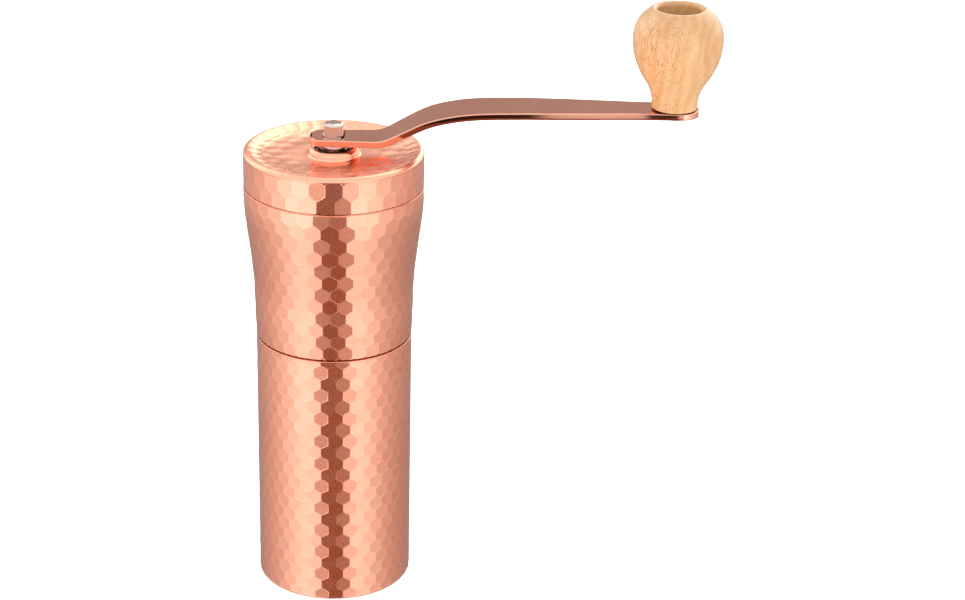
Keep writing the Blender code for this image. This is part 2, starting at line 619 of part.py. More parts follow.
def build_knob():
    """Knob with a well in its top, the pin it turns on, and the washer and collar on the pin."""
    rows = 14
    top = PEAR[-1][0]
    heights = [top * (rows - i) / rows for i in range(rows + 1)]
    outside = [(KNOB_R * smooth(PEAR, share), KNOB_Z0 + KNOB_H * share) for share in heights]
    profile = [(MOUTH_R + 0.3, KNOB_Z1 - 0.1), (MOUTH_R + 1.0, KNOB_Z1)] + outside + [
        (PIN_R + RUN, KNOB_Z0), (PIN_R + RUN, WELL_Z), (MOUTH_R - 1.0, WELL_Z), (MOUTH_R, WELL_Z + 1.0),
        (MOUTH_R, KNOB_Z1 - MOUTH_LIP),
    ]
    paint(turned("knob", profile, INNER_SIDES, True, KNOB_AT), BEECH)

    profile = [
        (0.0, PIN_HEAD_Z1), (PIN_HEAD_R - 0.6, PIN_HEAD_Z1), (PIN_HEAD_R, PIN_HEAD_Z1 - 0.6),
        (PIN_HEAD_R, PIN_HEAD_Z0), (PIN_R, PIN_HEAD_Z0), (PIN_R, PIN_Z0 + 0.5), (PIN_R - 0.5, PIN_Z0), (0.0, PIN_Z0),
    ]
    pin = turned("knob_pin", profile, SMALL_SIDES, False, KNOB_AT)
    slot = rectangle(-PIN_HEAD_R - 1.0, PIN_HEAD_R + 1.0, PIN_SLOT_W / 2)
    slot_cutter = prism("pin_slot", slot, PIN_HEAD_Z1 - PIN_SLOT_DEPTH, PIN_HEAD_Z1 + 1.0, KNOB_AT)
    combine(pin, "DIFFERENCE", slot_cutter)
    paint(pin, STEEL)

    washer_z0 = TOE_Z1 + STACK
    washer = tube(
        "knob_washer", PIN_R + FIT, KNOB_WASHER_R, washer_z0, washer_z0 + KNOB_WASHER_T, SMALL_SIDES, KNOB_AT
    )
    paint(washer, STEEL)
    collar_z0 = PIN_COLLAR_Z1 - PIN_COLLAR_T
    profile = [
        (PIN_COLLAR_R, PIN_COLLAR_Z1), (PIN_COLLAR_R, PIN_COLLAR_Z1 - 0.8), (PIN_COLLAR_R - 0.6, collar_z0 + 0.2),
        (PIN_R + FIT, collar_z0), (PIN_R + FIT, PIN_COLLAR_Z1),
    ]
    paint(turned("pin_collar", profile, SMALL_SIDES, True, KNOB_AT), STEEL)


clear_scene()
PARTS = add_collection("coffee_mill")
CUTTERS = add_collection("coffee_mill_cutters")
build_cup()
build_body_shell()
build_housing()
build_lid()
build_shaft()
build_burr()
build_spring()
build_arm()
build_knob()
for part in PARTS.objects:
    if part.type == "MESH":
        part.data.shade_smooth()
        part.data.set_sharp_from_angle(angle=math.radians(30))
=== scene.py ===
"""Hand coffee mill: facet-pressed copper cup, body and lid, a bent crank arm and a turned beech knob."""

import json
import math
import random

import bmesh
import bpy
from mathutils import Euler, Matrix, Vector


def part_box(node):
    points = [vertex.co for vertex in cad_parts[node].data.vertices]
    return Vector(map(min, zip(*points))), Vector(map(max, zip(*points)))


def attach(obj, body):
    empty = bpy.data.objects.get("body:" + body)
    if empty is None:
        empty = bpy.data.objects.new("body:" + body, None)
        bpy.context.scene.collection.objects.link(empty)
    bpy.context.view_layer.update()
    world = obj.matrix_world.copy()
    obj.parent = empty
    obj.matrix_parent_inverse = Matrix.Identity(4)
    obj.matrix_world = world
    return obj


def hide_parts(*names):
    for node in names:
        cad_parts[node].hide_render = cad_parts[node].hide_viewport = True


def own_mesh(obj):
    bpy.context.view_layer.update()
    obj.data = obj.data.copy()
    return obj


bl_info = {
    "name": "Hand Coffee Mill",
    "version": (1, 0, 0),
    "blender": (4, 5, 0),
    "location": "View3D > Sidebar > Mill",
    "description": "Builds the finished pieces of a hand coffee mill around its working frame",
    "category": "Add Mesh",
}

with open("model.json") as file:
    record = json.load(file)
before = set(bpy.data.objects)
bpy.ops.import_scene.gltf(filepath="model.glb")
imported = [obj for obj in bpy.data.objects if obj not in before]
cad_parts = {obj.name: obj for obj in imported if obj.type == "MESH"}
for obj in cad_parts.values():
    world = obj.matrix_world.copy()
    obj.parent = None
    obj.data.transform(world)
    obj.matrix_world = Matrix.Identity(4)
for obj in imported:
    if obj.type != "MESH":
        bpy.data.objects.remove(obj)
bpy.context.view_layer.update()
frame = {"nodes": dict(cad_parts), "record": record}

MM = 0.001
TAU = 2 * math.pi
ROOT3 = math.sqrt(3)
# Points nearer than this, in metres, become one: in a piece, and in a sheet of facets
MERGE = 2e-6
MERGE_SHEET = 2e-5


def top_of(node):
    """Height of a node's top, in mm."""
    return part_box(node)[1].z / MM


def foot_of(node):
    """Height of a node's foot, in mm."""
    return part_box(node)[0].z / MM


def radius_of(node):
    """Half of a turned piece's widest size, in mm, wherever it stands."""
    low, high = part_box(node)
    return (high.y - low.y) / 2 / MM


# Levels and radii of the working frame, in mm
CUP_R = radius_of("catch_cup")
CUP_Z1 = top_of("catch_cup")
BODY_Z0 = foot_of("body_shell")
BODY_Z1 = top_of("body_shell")
LID_R = radius_of("lid")
LID_Z0 = foot_of("lid")
BEAD_Z1 = top_of("lid")
BEAD_H = 0.6
LID_RIM_Z = BEAD_Z1 - BEAD_H
LID_DISH = 1.9
DISH_Z = LID_RIM_Z - LID_DISH
SHEET = 1.0
COLLAR_R = radius_of("shaft_collar")
COLLAR_Z0 = foot_of("shaft_collar")
COLLAR_Z1 = top_of("shaft_collar")
BORE_R = 6.36
HEX_AF = 6.2
HEX_PLAY = 0.24
ARM_T = 2.2
ARM_Z0 = foot_of("crank_arm")
TOE_Z1 = top_of("crank_arm")
KNOB_X = (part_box("knob")[0].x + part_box("knob")[1].x) / 2 / MM
KNOB_Z0 = foot_of("knob")
KNOB_Z1 = top_of("knob")
KNOB_H = KNOB_Z1 - KNOB_Z0
KNOB_R = radius_of("knob") * 0.999
PIN_R = 3.0
PIN_BORE = PIN_R + 0.3
KNOB_BORE = PIN_R + 0.06

# Outline of the body: share of its height, share of its flare
FLARE = (
    (0.0, 0.0), (0.18, 0.1), (0.35, 0.165), (0.52, 0.38), (0.7, 0.7), (0.85, 0.955), (0.93, 1.0), (1.0, 1.0),
)
# Section of the bead round the lid's bore, from the dish inwards: radius, height above the dish
BEAD = (
    (8.75, 0.05), (8.5, 0.22), (8.35, 0.55), (8.27, 1.0), (8.16, 1.4), (7.97, 1.8), (7.68, 2.15), (7.3, 2.4),
    (6.95, 2.5), (6.68, 2.44), (6.48, 2.25), (BORE_R, 1.9), (BORE_R, -SHEET),
)
# Bend of the arm: distance from the shaft, share of its rise
BEND = ((13.0, 0.0), (16.0, 0.045), (22.0, 0.315), (30.0, 0.667), (38.0, 0.86), (47.0, 0.96), (62.0, 1.0))
# Outline of the arm: distance from the shaft, half its width, and the same from the knob's axis
HEEL_HALF = ((-5.0, 5.65), (8.0, 6.0), (14.0, 6.4), (22.0, 7.65), (34.0, 8.45))
TOE_HALF = ((-50.0, 8.38), (-38.0, 8.0), (-25.0, 7.3), (-12.0, 6.4), (1.65, 6.35))
HEEL_R = 7.75
TOE_R = 6.35
# Outline of the knob: share of its height, share of its radius
PEAR = (
    (0.0, 0.515), (0.09, 0.525), (0.2, 0.605), (0.33, 0.785), (0.5, 0.945), (0.66, 1.0), (0.8, 0.962),
    (0.915, 0.82), (0.985, 0.63),
)
# Lip of the knob's open top, from outside inwards: distance out from its mouth, depth below its top
LIP = (
    (1.75, 0.36), (1.3, 0.3), (0.9, 0.36), (0.55, 0.56), (0.3, 0.85), (0.12, 1.25), (0.02, 1.8), (0.0, 4.5),
)
# Dome of the shaft's head: share of its width, depth below its top
DOME = ((0.985, 0.42), (0.94, 0.22), (0.87, 0.1), (0.7, 0.04), (0.3, 0.0), (0.08, 0.0))

# Camera: where it stands, in mm and degrees round the mill, and how it is turned, in degrees
CAMERA_AWAY = 725.5
CAMERA_HEIGHT = 413.1
CAMERA_AROUND = 3.025
CAMERA_PAN = 3.916
CAMERA_DOWN = 23.305
CAMERA_ROLL = 1.409
CAMERA_LENS = 88.04


def colour(text):
    """Linear RGB of an sRGB hex colour."""
    parts = [int(text[i:i + 2], 16) / 255 for i in (1, 3, 5)]
    return tuple(c / 12.92 if c <= 0.04045 else ((c + 0.055) / 1.055) ** 2.4 for c in parts)


def smooth(table, at):
    """The value at a place on the smooth curve through a table's (place, value) points."""
    last = len(table) - 1
    if at <= table[0][0]:
        return table[0][1]
    if at >= table[last][0]:
        return table[last][1]
    i = max(k for k in range(last) if table[k][0] <= at)

    def slope(k):
        low, high = max(k - 1, 0), min(k + 1, last)
        return (table[high][1] - table[low][1]) / (table[high][0] - table[low][0])

    (x0, y0), (x1, y1) = table[i], table[i + 1]
    run = x1 - x0
    t = (at - x0) / run
    rise = y0 * (1 + 2 * t) * (1 - t) ** 2 + y1 * t * t * (3 - 2 * t)
    return rise + run * (slope(i) * t * (1 - t) ** 2 - slope(i + 1) * t * t * (1 - t))


def body_r(z):
    """Outer radius of the body at a height, in mm."""
    return CUP_R + (LID_R - CUP_R) * smooth(FLARE, (z - BODY_Z0) / (LID_Z0 - BODY_Z0))


def held(value, low=0.0, high=1.0):
    """A value, held between two ends."""
    return min(high, max(low, value))


# ---------------------------------------------------------------- user settings


class MillSizes(bpy.types.PropertyGroup):
    """Sizes that the maker of a mill may want to change"""

    facets: bpy.props.IntProperty(
        name="Facets round", description="Facets in one row round the mill", default=34, min=12
    )
    border: bpy.props.FloatProperty(
        name="Facet border", description="Width of the raised edge round a facet", default=0.17 * MM,
        subtype="DISTANCE", precision=5,
    )
    sunk: bpy.props.FloatProperty(
        name="Facet depth", description="Depth of a facet below its edge", default=0.022 * MM,
        subtype="DISTANCE", precision=5,
    )
    press: bpy.props.FloatProperty(
        name="Facet tilt", description="Unevenness of the pressed facets", default=math.radians(0.6),
        subtype="ANGLE",
    )
    dent: bpy.props.FloatProperty(
        name="Lid dents", description="Depth of the dents in the lid", default=0.24 * MM,
        subtype="DISTANCE", precision=5,
    )
    smoothing: bpy.props.FloatProperty(
        name="Smoothing", description="Edges blunter than this shade smoothly", default=math.radians(32),
        subtype="ANGLE",
    )


class MillColours(bpy.types.PropertyGroup):
    """Base colours of the materials and the floor"""

    copper: bpy.props.FloatVectorProperty(
        name="Satin copper", description="Brushed shells", subtype="COLOR", default=colour("#F7AF93")
    )
    plating: bpy.props.FloatVectorProperty(
        name="Copper plating", description="Polished crank arm", subtype="COLOR", default=colour("#E6A78F")
    )
    beech: bpy.props.FloatVectorProperty(
        name="Beech", description="Pale wood between the rings", subtype="COLOR", default=colour("#CBA06F")
    )
    beech_dark: bpy.props.FloatVectorProperty(
        name="Beech grain", description="Darker wood of the rings", subtype="COLOR", default=colour("#BD874D")
    )
    floor: bpy.props.FloatVectorProperty(
        name="Floor", description="Studio floor", subtype="COLOR", default=colour("#F2F2F2")
    )


def sizes():
    return bpy.context.scene.mill_sizes


def colours():
    return bpy.context.scene.mill_colours


# ---------------------------------------------------------------- materials


def add_node(tree, kind, settings=None, inputs=None):
    """One node, with its settings, and each input given a value or a link."""
    node = tree.nodes.new(kind)
    for name, value in (settings or {}).items():
        setattr(node, name, value)
    for name, value in (inputs or {}).items():
        if isinstance(value, bpy.types.NodeSocket):
            tree.links.new(value, node.inputs[name])
        else:
            node.inputs[name].default_value = value
    return node


def add_ramp(tree, factor, *stops):
    """A colour ramp over a factor, from (place, colour) stops."""
    ramp = add_node(tree, "ShaderNodeValToRGB", inputs={"Fac": factor})
    elements = ramp.color_ramp.elements
    while len(elements) < len(stops):
        elements.new(0.5)
    for element, (place, shade) in zip(elements, stops):
        element.position = place
        element.color = (*shade, 1.0)
    return ramp.outputs["Color"]


def new_material(name, base, metallic, roughness, **sockets):
    """A material with a Principled shader; returns it with its node tree and shader."""
    material = bpy.data.materials.new(name)
    material.use_nodes = True
    tree = material.node_tree
    shader = tree.nodes["Principled BSDF"]
    shader.inputs["Base Color"].default_value = (*base, 1.0)
    shader.inputs["Metallic"].default_value = metallic
    shader.inputs["Roughness"].default_value = roughness
    for name_, value in sockets.items():
        shader.inputs[name_.replace("_", " ")].default_value = value
    material.diffuse_color = (*base, 1.0)
    return material, tree, shader


def math_of(tree, operation, first, second):
    """The result of a sum on two values or links."""
    return add_node(tree, "ShaderNodeMath", {"operation": operation}, {0: first, 1: second}).outputs["Value"]


def vector_of(tree, operation, first, second=(0.0, 0.0, 0.0), out="Vector"):
    """The result of a sum on two vectors: a vector, or a number where out is Value."""
    node = add_node(tree, "ShaderNodeVectorMath", {"operation": operation}, {0: first, 1: second})
    return node.outputs[out]


def blend(tree, factor, first, second):
    """A mix of two colours. A Mix node has its colours at inputs 6 and 7, and their mix at output 2."""
    return add_node(
        tree, "ShaderNodeMix", {"data_type": "RGBA"}, {"Factor": factor, 6: first, 7: second}
    ).outputs[2]


def turned_place(tree):
    """Object coordinates, with height and distance from the mill's axis added up as Z.

    A pattern squeezed along that Z runs in fine rings, up a wall and across a flat top alike.
    """
    place = add_node(tree, "ShaderNodeTexCoord").outputs["Object"]
    parts = add_node(tree, "ShaderNodeSeparateXYZ", inputs={"Vector": place})
    flat = vector_of(tree, "MULTIPLY", place, (1.0, 1.0, 0.0))
    along = math_of(tree, "ADD", parts.outputs["Z"], vector_of(tree, "LENGTH", flat, out="Value"))
    return add_node(
        tree, "ShaderNodeCombineXYZ", inputs={"X": parts.outputs["X"], "Y": parts.outputs["Y"], "Z": along}
    ).outputs["Vector"]


def noise(tree, place, scale, detail=2.0, stretch=(1.0, 1.0, 1.0)):
    """Noise with features about 1/scale metres apart, drawn out along the axes of least stretch."""
    mapped = add_node(tree, "ShaderNodeMapping", inputs={"Vector": place, "Scale": stretch}).outputs["Vector"]
    return add_node(
        tree, "ShaderNodeTexNoise", inputs={"Vector": mapped, "Scale": scale, "Detail": detail}
    ).outputs["Fac"]


def spread(tree, factor, low, high, out_low, out_high):
    """A value moved from one range to another, and held at its ends."""
    return add_node(
        tree, "ShaderNodeMapRange", inputs={
            "Value": factor, "From Min": low, "From Max": high, "To Min": out_low, "To Max": out_high,
        }
    ).outputs["Result"]


def swing(tree, pattern, low, high):
    """A noise, which mostly keeps between 0.3 and 0.7, spread out from low to high."""
    return spread(tree, pattern, 0.3, 0.7, low, high)


def clouded(tree, place, base, shares, scale, detail=2.0):
    """A colour with soft darker clouds; shares say how much of each channel is left in them."""
    cloud = swing(tree, noise(tree, place, scale, detail), 0.0, 1.0)
    darker = tuple(c * s for c, s in zip(base, shares))
    return add_ramp(tree, cloud, (0.0, darker), (1.0, tuple(base)))


def bump(tree, shader, height, depth, strength=1.0):
    """Lets a pattern raise a shader's surface, over a depth in mm."""
    made = add_node(
        tree, "ShaderNodeBump", inputs={"Height": height, "Distance": depth * MM, "Strength": strength}
    )
    tree.links.new(made.outputs["Normal"], shader.inputs["Normal"])


# Draws a noise out into rings round the mill
RINGED = (0.02, 0.02, 1.0)


def satin_copper():
    """Copper tube, pressed and brushed in rings under thin lacquer: a soft metal glow, with hairlines."""
    base = colours().copper
    material, tree, shader = new_material("brushed_satin_copper", base, metallic=1.0, roughness=0.3)
    place = turned_place(tree)
    # brushing is finer than 0.1 mm, and is drawn about 0.35 mm apart to show
    lines = noise(tree, place, 2800.0, stretch=RINGED)
    speck = noise(tree, place, 2600.0, detail=1.0)
    shade = clouded(tree, place, base, (0.97, 0.94, 0.93), 60.0)
    rubbed = spread(tree, lines, 0.35, 0.65, 0.955, 1.02)
    tree.links.new(vector_of(tree, "MULTIPLY", shade, rubbed), shader.inputs["Base Color"])
    tree.links.new(swing(tree, speck, 0.22, 0.28), shader.inputs["Roughness"])
    bump(tree, shader, math_of(tree, "ADD", lines, speck), 0.002, 0.5)
    return material


def plated_copper():
    """Steel strip, polished and copper plated: a mirror with faint drawn lines along it."""
    base = colours().plating
    material, tree, shader = new_material("polished_copper_plating", base, metallic=1.0, roughness=0.07)
    place = add_node(tree, "ShaderNodeTexCoord").outputs["Object"]
    # polishing lines are drawn 0.5 mm apart, coarser than the real ones
    lines = noise(tree, place, 2000.0, stretch=(0.02, 1.0, 1.0))
    tree.links.new(clouded(tree, place, base, (0.9, 0.9, 0.9), 45.0), shader.inputs["Base Color"])
    tree.links.new(swing(tree, lines, 0.05, 0.11), shader.inputs["Roughness"])
    bump(tree, shader, lines, 0.0012, 0.4)
    return material


def turned_metal(name, base, rough_low, rough_high, pitch, depth):
    """A machined metal: tool lines in rings a pitch apart, in mm, and a slight unevenness of sheen."""
    material, tree, shader = new_material(name, base, metallic=1.0, roughness=rough_low)
    place = turned_place(tree)
    lines = noise(tree, place, 1 / (pitch * MM), stretch=RINGED)
    shade = clouded(tree, place, base, (0.85, 0.85, 0.85), 180.0, detail=3.0)
    tree.links.new(shade, shader.inputs["Base Color"])
    tree.links.new(swing(tree, lines, rough_low, rough_high), shader.inputs["Roughness"])
    bump(tree, shader, lines, depth)
    return material


def grained(name, base, speckle, roughness, grain, depth, metallic=0.0):
    """A dull material with a fine grain: moulded plastic, rubber, fired ceramic or sintered bronze."""
    material, tree, shader = new_material(name, base, metallic, roughness)
    place = add_node(tree, "ShaderNodeTexCoord").outputs["Object"]
    fine = noise(tree, place, 1 / (grain * MM), detail=3.0)
    flecks = spread(tree, fine, 0.6, 0.8, 0.0, 1.0)
    shade = add_ramp(tree, flecks, (0.0, tuple(base)), (1.0, speckle))
    cloud = swing(tree, noise(tree, place, 90.0), 0.9, 1.08)
    tree.links.new(vector_of(tree, "MULTIPLY", shade, cloud), shader.inputs["Base Color"])
    tree.links.new(swing(tree, fine, roughness - 0.06, roughness + 0.06), shader.inputs["Roughness"])
    bump(tree, shader, fine, depth)
    return material


def lacquered_beech():
    """Turned beech under clear lacquer: honey wood, soft rings, and short dark pores along the grain."""
    pale, dark = tuple(colours().beech), tuple(colours().beech_dark)
    material, tree, shader = new_material(
        "lacquered_beech", pale, metallic=0.0, roughness=0.42, Coat_Weight=0.6, Coat_Roughness=0.24
    )
    place = add_node(tree, "ShaderNodeTexCoord").outputs["Object"]
    # the blank was sawn off the heart: its rings are centred outside the knob, and lean a little
    heart = (-(KNOB_X + 19.0) * MM, 0.031, -KNOB_Z0 * MM)
    lean = Euler((math.radians(5), math.radians(-7), 0.0))
    centred = add_node(
        tree, "ShaderNodeMapping", inputs={"Vector": place, "Location": heart, "Rotation": lean}
    ).outputs["Vector"]
    rings = add_node(
        tree, "ShaderNodeTexWave",
        {"wave_type": "RINGS", "rings_direction": "Z", "wave_profile": "SIN"},
        {"Vector": centred, "Scale": 95.0, "Distortion": 7.0, "Detail": 3.0, "Detail Scale": 1.2},
    ).outputs["Fac"]
    wide = noise(tree, centred, 110.0, detail=3.0, stretch=(1.0, 1.0, 0.18))
    mixed = math_of(tree, "ADD", spread(tree, rings, 0.0, 1.0, 0.0, 0.3), swing(tree, wide, 0.0, 0.45))
    deep = tuple(c * s for c, s in zip(dark, (0.86, 0.72, 0.58)))
    wood = add_ramp(tree, mixed, (0.1, pale), (0.75, dark), (1.0, deep))
    # pores about 0.3 mm wide and 3 mm long, and fewer, darker veins about twice that size
    pores = noise(tree, centred, 3400.0, detail=1.0, stretch=(1.0, 1.0, 0.1))
    veins = noise(tree, centred, 1900.0, detail=1.0, stretch=(1.0, 1.0, 0.09))
    pores, veins = spread(tree, pores, 0.57, 0.67, 0.0, 0.6), spread(tree, veins, 0.63, 0.7, 0.0, 0.85)
    # they lie closest on one side of the knob
    side = add_node(tree, "ShaderNodeSeparateXYZ", inputs={"Vector": place}).outputs["X"]
    thick = spread(tree, side, (KNOB_X - 7.0) * MM, (KNOB_X + 4.0) * MM, 1.0, 0.3)
    flecks = math_of(tree, "MULTIPLY", math_of(tree, "MAXIMUM", pores, veins), thick)
    fleck = tuple(c * s for c, s in zip(dark, (0.55, 0.36, 0.26)))
    tree.links.new(blend(tree, flecks, wood, (*fleck, 1.0)), shader.inputs["Base Color"])
    tree.links.new(swing(tree, wide, 0.36, 0.48), shader.inputs["Roughness"])
    bump(tree, shader, math_of(tree, "MULTIPLY", flecks, -1.0), 0.02, 0.35)
    return material


def machined_steel():
    """Machined, uncoated steel: a warm grey sheen with faint tool rings."""
    return turned_metal("machined_steel", colour("#CBC3BC"), 0.08, 0.15, 0.3, 0.0012)


def chrome_plating():
    """Chrome plated over turned steel: a clean cool mirror."""
    return turned_metal("chrome_plating", colour("#D9DADC"), 0.05, 0.09, 0.35, 0.001)


def moulded_abs():
    """Moulded ABS: near black, with the fine grain of a spark-eroded mould."""
    return grained("moulded_black_abs", colour("#1B1B1C"), colour("#2A2A2B"), 0.48, 0.5, 0.02)


def ground_ceramic():
    """Ceramic, moulded and ground: off-white and matt, with grey grains."""
    return grained("ground_ceramic", colour("#E8E3D6"), colour("#C9C2B2"), 0.42, 0.3, 0.012)


def sintered_bronze():
    """Sintered bronze: a dull yellow brown, with open pores that hold oil."""
    return grained("sintered_bronze", colour("#B58B4C"), colour("#6E5025"), 0.42, 0.35, 0.02, metallic=1.0)


def nitrile_rubber():
    """Moulded nitrile rubber: matt black."""
    return grained("nitrile_rubber", colour("#191919"), colour("#242424"), 0.62, 0.4, 0.015)


MATERIALS = {
    "satin_copper": ("brushed_satin_copper", satin_copper),
    "bright_copper": ("polished_copper_plating", plated_copper),
    "steel": ("machined_steel", machined_steel),
    "chrome": ("chrome_plating", chrome_plating),
    "black_plastic": ("moulded_black_abs", moulded_abs),
    "ceramic": ("ground_ceramic", ground_ceramic),
    "beech": ("lacquered_beech", lacquered_beech),
    "bronze": ("sintered_bronze", sintered_bronze),
    "rubber": ("nitrile_rubber", nitrile_rubber),
}


def finish_for(slot):
    """The material of a slot, made once."""
    name, make = MATERIALS[slot]
    return bpy.data.materials.get(name) or make()


# ---------------------------------------------------------------- bench tools


def deselect():
    """Leave edit mode, and select nothing."""
    if bpy.context.mode != "OBJECT":
        bpy.ops.object.mode_set(mode="OBJECT")
    bpy.ops.object.select_all(action="DESELECT")


def pick(obj):
    """Select one object alone, and make it active."""
    deselect()
    obj.select_set(True)
    bpy.context.view_layer.objects.active = obj


def edit(obj, everything=True):
    """Enter an object's edit mode, with all of it selected or nothing."""
    pick(obj)
    bpy.ops.object.mode_set(mode="EDIT")
    bpy.ops.mesh.select_mode(type="EDGE")
    bpy.ops.mesh.select_all(action="SELECT" if everything else "DESELECT")


def select_edges(obj, wanted):
    """In edit mode, select just the edges for which wanted(edge) is true."""
    mesh = bmesh.from_edit_mesh(obj.data)
    bpy.ops.mesh.select_all(action="DESELECT")
    for edge in mesh.edges:
        if wanted(edge):
            edge.select_set(True)
    mesh.select_flush(True)
    bmesh.update_edit_mesh(obj.data)


def move_selected(obj, place):
    """In edit mode, put each selected point, in mm, where place(x, y, z) says."""
    mesh = bmesh.from_edit_mesh(obj.data)
    for v in mesh.verts:
        if v.select:
            v.co = Vector(place(v.co.x / MM, v.co.y / MM, v.co.z / MM)) * MM
    bmesh.update_edit_mesh(obj.data)


def on_ring(radius, z, about=(0.0, 0.0)):
    """Places points on a circle at a height, each at the angle it had."""

    def place(x, y, _):
        away = math.hypot(x - about[0], y - about[1])
        share = radius / away
        return about[0] + (x - about[0]) * share, about[1] + (y - about[1]) * share, z

    return place


def draw_on(obj, rings, about=(0.0, 0.0)):
    """Extrude the selected loop through (radius, height) rings, in mm."""
    for radius, z in rings:
        bpy.ops.mesh.extrude_region_move()
        move_selected(obj, on_ring(radius, z, about))


def loop_at(z, low=0.0, high=1e9, off=0.02):
    """Picks open edges at a height, between two radii, in mm."""

    def wanted(edge):
        if len(edge.link_faces) > 1:
            return False
        for v in edge.verts:
            if abs(v.co.z / MM - z) > off or not low <= math.hypot(v.co.x, v.co.y) / MM <= high:
                return False
        return True

    return wanted


def outward(obj):
    """Merge a piece's double points, and turn its faces outwards."""
    edit(obj)
    bpy.ops.mesh.remove_doubles(threshold=MERGE)
    bpy.ops.mesh.normals_make_consistent(inside=False)
    bpy.ops.object.mode_set(mode="OBJECT")


def start_ring(name, sides, radius, place=(0.0, 0.0, 0.0), rotation=(0.0, 0.0, 0.0)):
    """The circle of points that a piece is drawn from, in mm."""
    deselect()
    bpy.ops.mesh.primitive_circle_add(
        vertices=sides, radius=radius * MM, location=[c * MM for c in place], rotation=rotation
    )
    obj = bpy.context.active_object
    obj.name = name
    bpy.ops.object.transform_apply(location=True, rotation=True, scale=True)
    return obj


def cap_ends(obj, sides):
    """Close a drawn piece at its last loop, then at its first, which has the points made first."""
    bpy.ops.mesh.edge_face_add()
    select_edges(obj, lambda edge: max(v.index for v in edge.verts) < sides)
    bpy.ops.mesh.edge_face_add()
    outward(obj)


def lathe(name, rings, sides, about=(0.0, 0.0), ring=False):
    """A turned piece from its (radius, height) rings, bottom to top: capped, or closed on itself."""
    (radius, z), rest = rings[0], rings[1:]
    obj = start_ring(name, sides, radius, (*about, z))
    edit(obj)
    draw_on(obj, rest, about)
    if ring:
        select_edges(obj, lambda edge: len(edge.link_faces) == 1)
        bpy.ops.mesh.bridge_edge_loops()
        outward(obj)
    else:
        cap_ends(obj, sides)
    return obj


def apply_modifier(obj, kind, **settings):
    """Give a piece a modifier, and apply it."""
    pick(obj)
    modifier = obj.modifiers.new(kind.lower(), kind)
    for key, value in settings.items():
        setattr(modifier, key, value)
    bpy.ops.object.modifier_apply(modifier=modifier.name)


def cut_by(obj, cutter):
    """Take a cutter's shape out of a piece, and throw the cutter away."""
    apply_modifier(obj, "BOOLEAN", object=cutter, operation="DIFFERENCE", solver="EXACT")
    bpy.data.objects.remove(cutter, do_unlink=True)


def drill(obj, sides, radius, x, z):
    """Cut an upright hole, in mm; six sides make it a hexagon."""
    deselect()
    bpy.ops.mesh.primitive_cylinder_add(
        vertices=sides, radius=radius * MM, depth=20 * MM, location=(x * MM, 0.0, z * MM)
    )
    cut_by(obj, bpy.context.active_object)


def round_edges(obj, width, segments, degrees, clamp=True):
    """Round every edge sharper than an angle, by a width in mm."""
    apply_modifier(
        obj, "BEVEL", width=width * MM, segments=segments, limit_method="ANGLE",
        angle_limit=math.radians(degrees), use_clamp_overlap=clamp,
    )


def settle(obj, body, slot, *nodes, flat=None):
    """Shade, paint and hand a finished piece to its body, in place of the frame's plain node."""
    pick(obj)
    bpy.ops.object.transform_apply(location=True, rotation=True, scale=True)
    bpy.ops.object.shade_smooth_by_angle(angle=sizes().smoothing)
    if flat is not None:
        edit(obj, False)
        bpy.ops.mesh.select_mode(type="FACE")
        mesh = bmesh.from_edit_mesh(obj.data)
        for face in mesh.faces:
            face.select_set(flat(face))
        bmesh.update_edit_mesh(obj.data)
        bpy.ops.mesh.faces_shade_flat()
        bpy.ops.object.mode_set(mode="OBJECT")
    else:
        apply_modifier(obj, "WEIGHTED_NORMAL", keep_sharp=True)
    obj.data.materials.clear()
    obj.data.materials.append(finish_for(slot))
    if nodes:
        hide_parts(*nodes)
    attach(obj, body)
    deselect()


def arc(centre_r, centre_z, radius, start, end, steps):
    """Ring places along an arc, its angles in degrees from straight out."""
    found = []
    for i in range(steps + 1):
        turn = math.radians(start + (end - start) * i / steps)
        found.append((centre_r + radius * math.cos(turn), centre_z + radius * math.sin(turn)))
    return found


# ---------------------------------------------------------------- pressed facets

# A hexagon of the flat sheet, in mm: across its flats, to its corners, and from row to row
FACET_W = 4.8
FACET_R = FACET_W / ROOT3
FACET_ROW = 1.5 * FACET_R


def facet_sheet(name, rows):
    """A flat sheet of hexagons, each with a narrow border, its rows staggered by half a hexagon."""
    deselect()
    bpy.ops.mesh.primitive_circle_add(vertices=6, radius=FACET_R * MM, fill_type="NGON")
    sheet = bpy.context.active_object
    sheet.name = name
    edit(sheet)
    bpy.ops.mesh.select_mode(type="FACE")
    bpy.ops.mesh.select_all(action="SELECT")
    bpy.ops.mesh.inset(thickness=sizes().border)
    bpy.ops.mesh.select_all(action="SELECT")
    bpy.ops.mesh.duplicate_move(TRANSFORM_OT_translate={"value": (FACET_W / 2 * MM, FACET_ROW * MM, 0.0)})
    bpy.ops.object.mode_set(mode="OBJECT")
    along, up = (FACET_W * MM, 0.0, 0.0), (0.0, 2 * FACET_ROW * MM, 0.0)
    for count, step in ((sizes().facets, along), (rows // 2, up)):
        apply_modifier(
            sheet, "ARRAY", count=count, use_relative_offset=False, use_constant_offset=True,
            constant_offset_displace=step,
        )
    edit(sheet)
    bpy.ops.mesh.remove_doubles(threshold=MERGE_SHEET)
    bpy.ops.object.mode_set(mode="OBJECT")
    return sheet


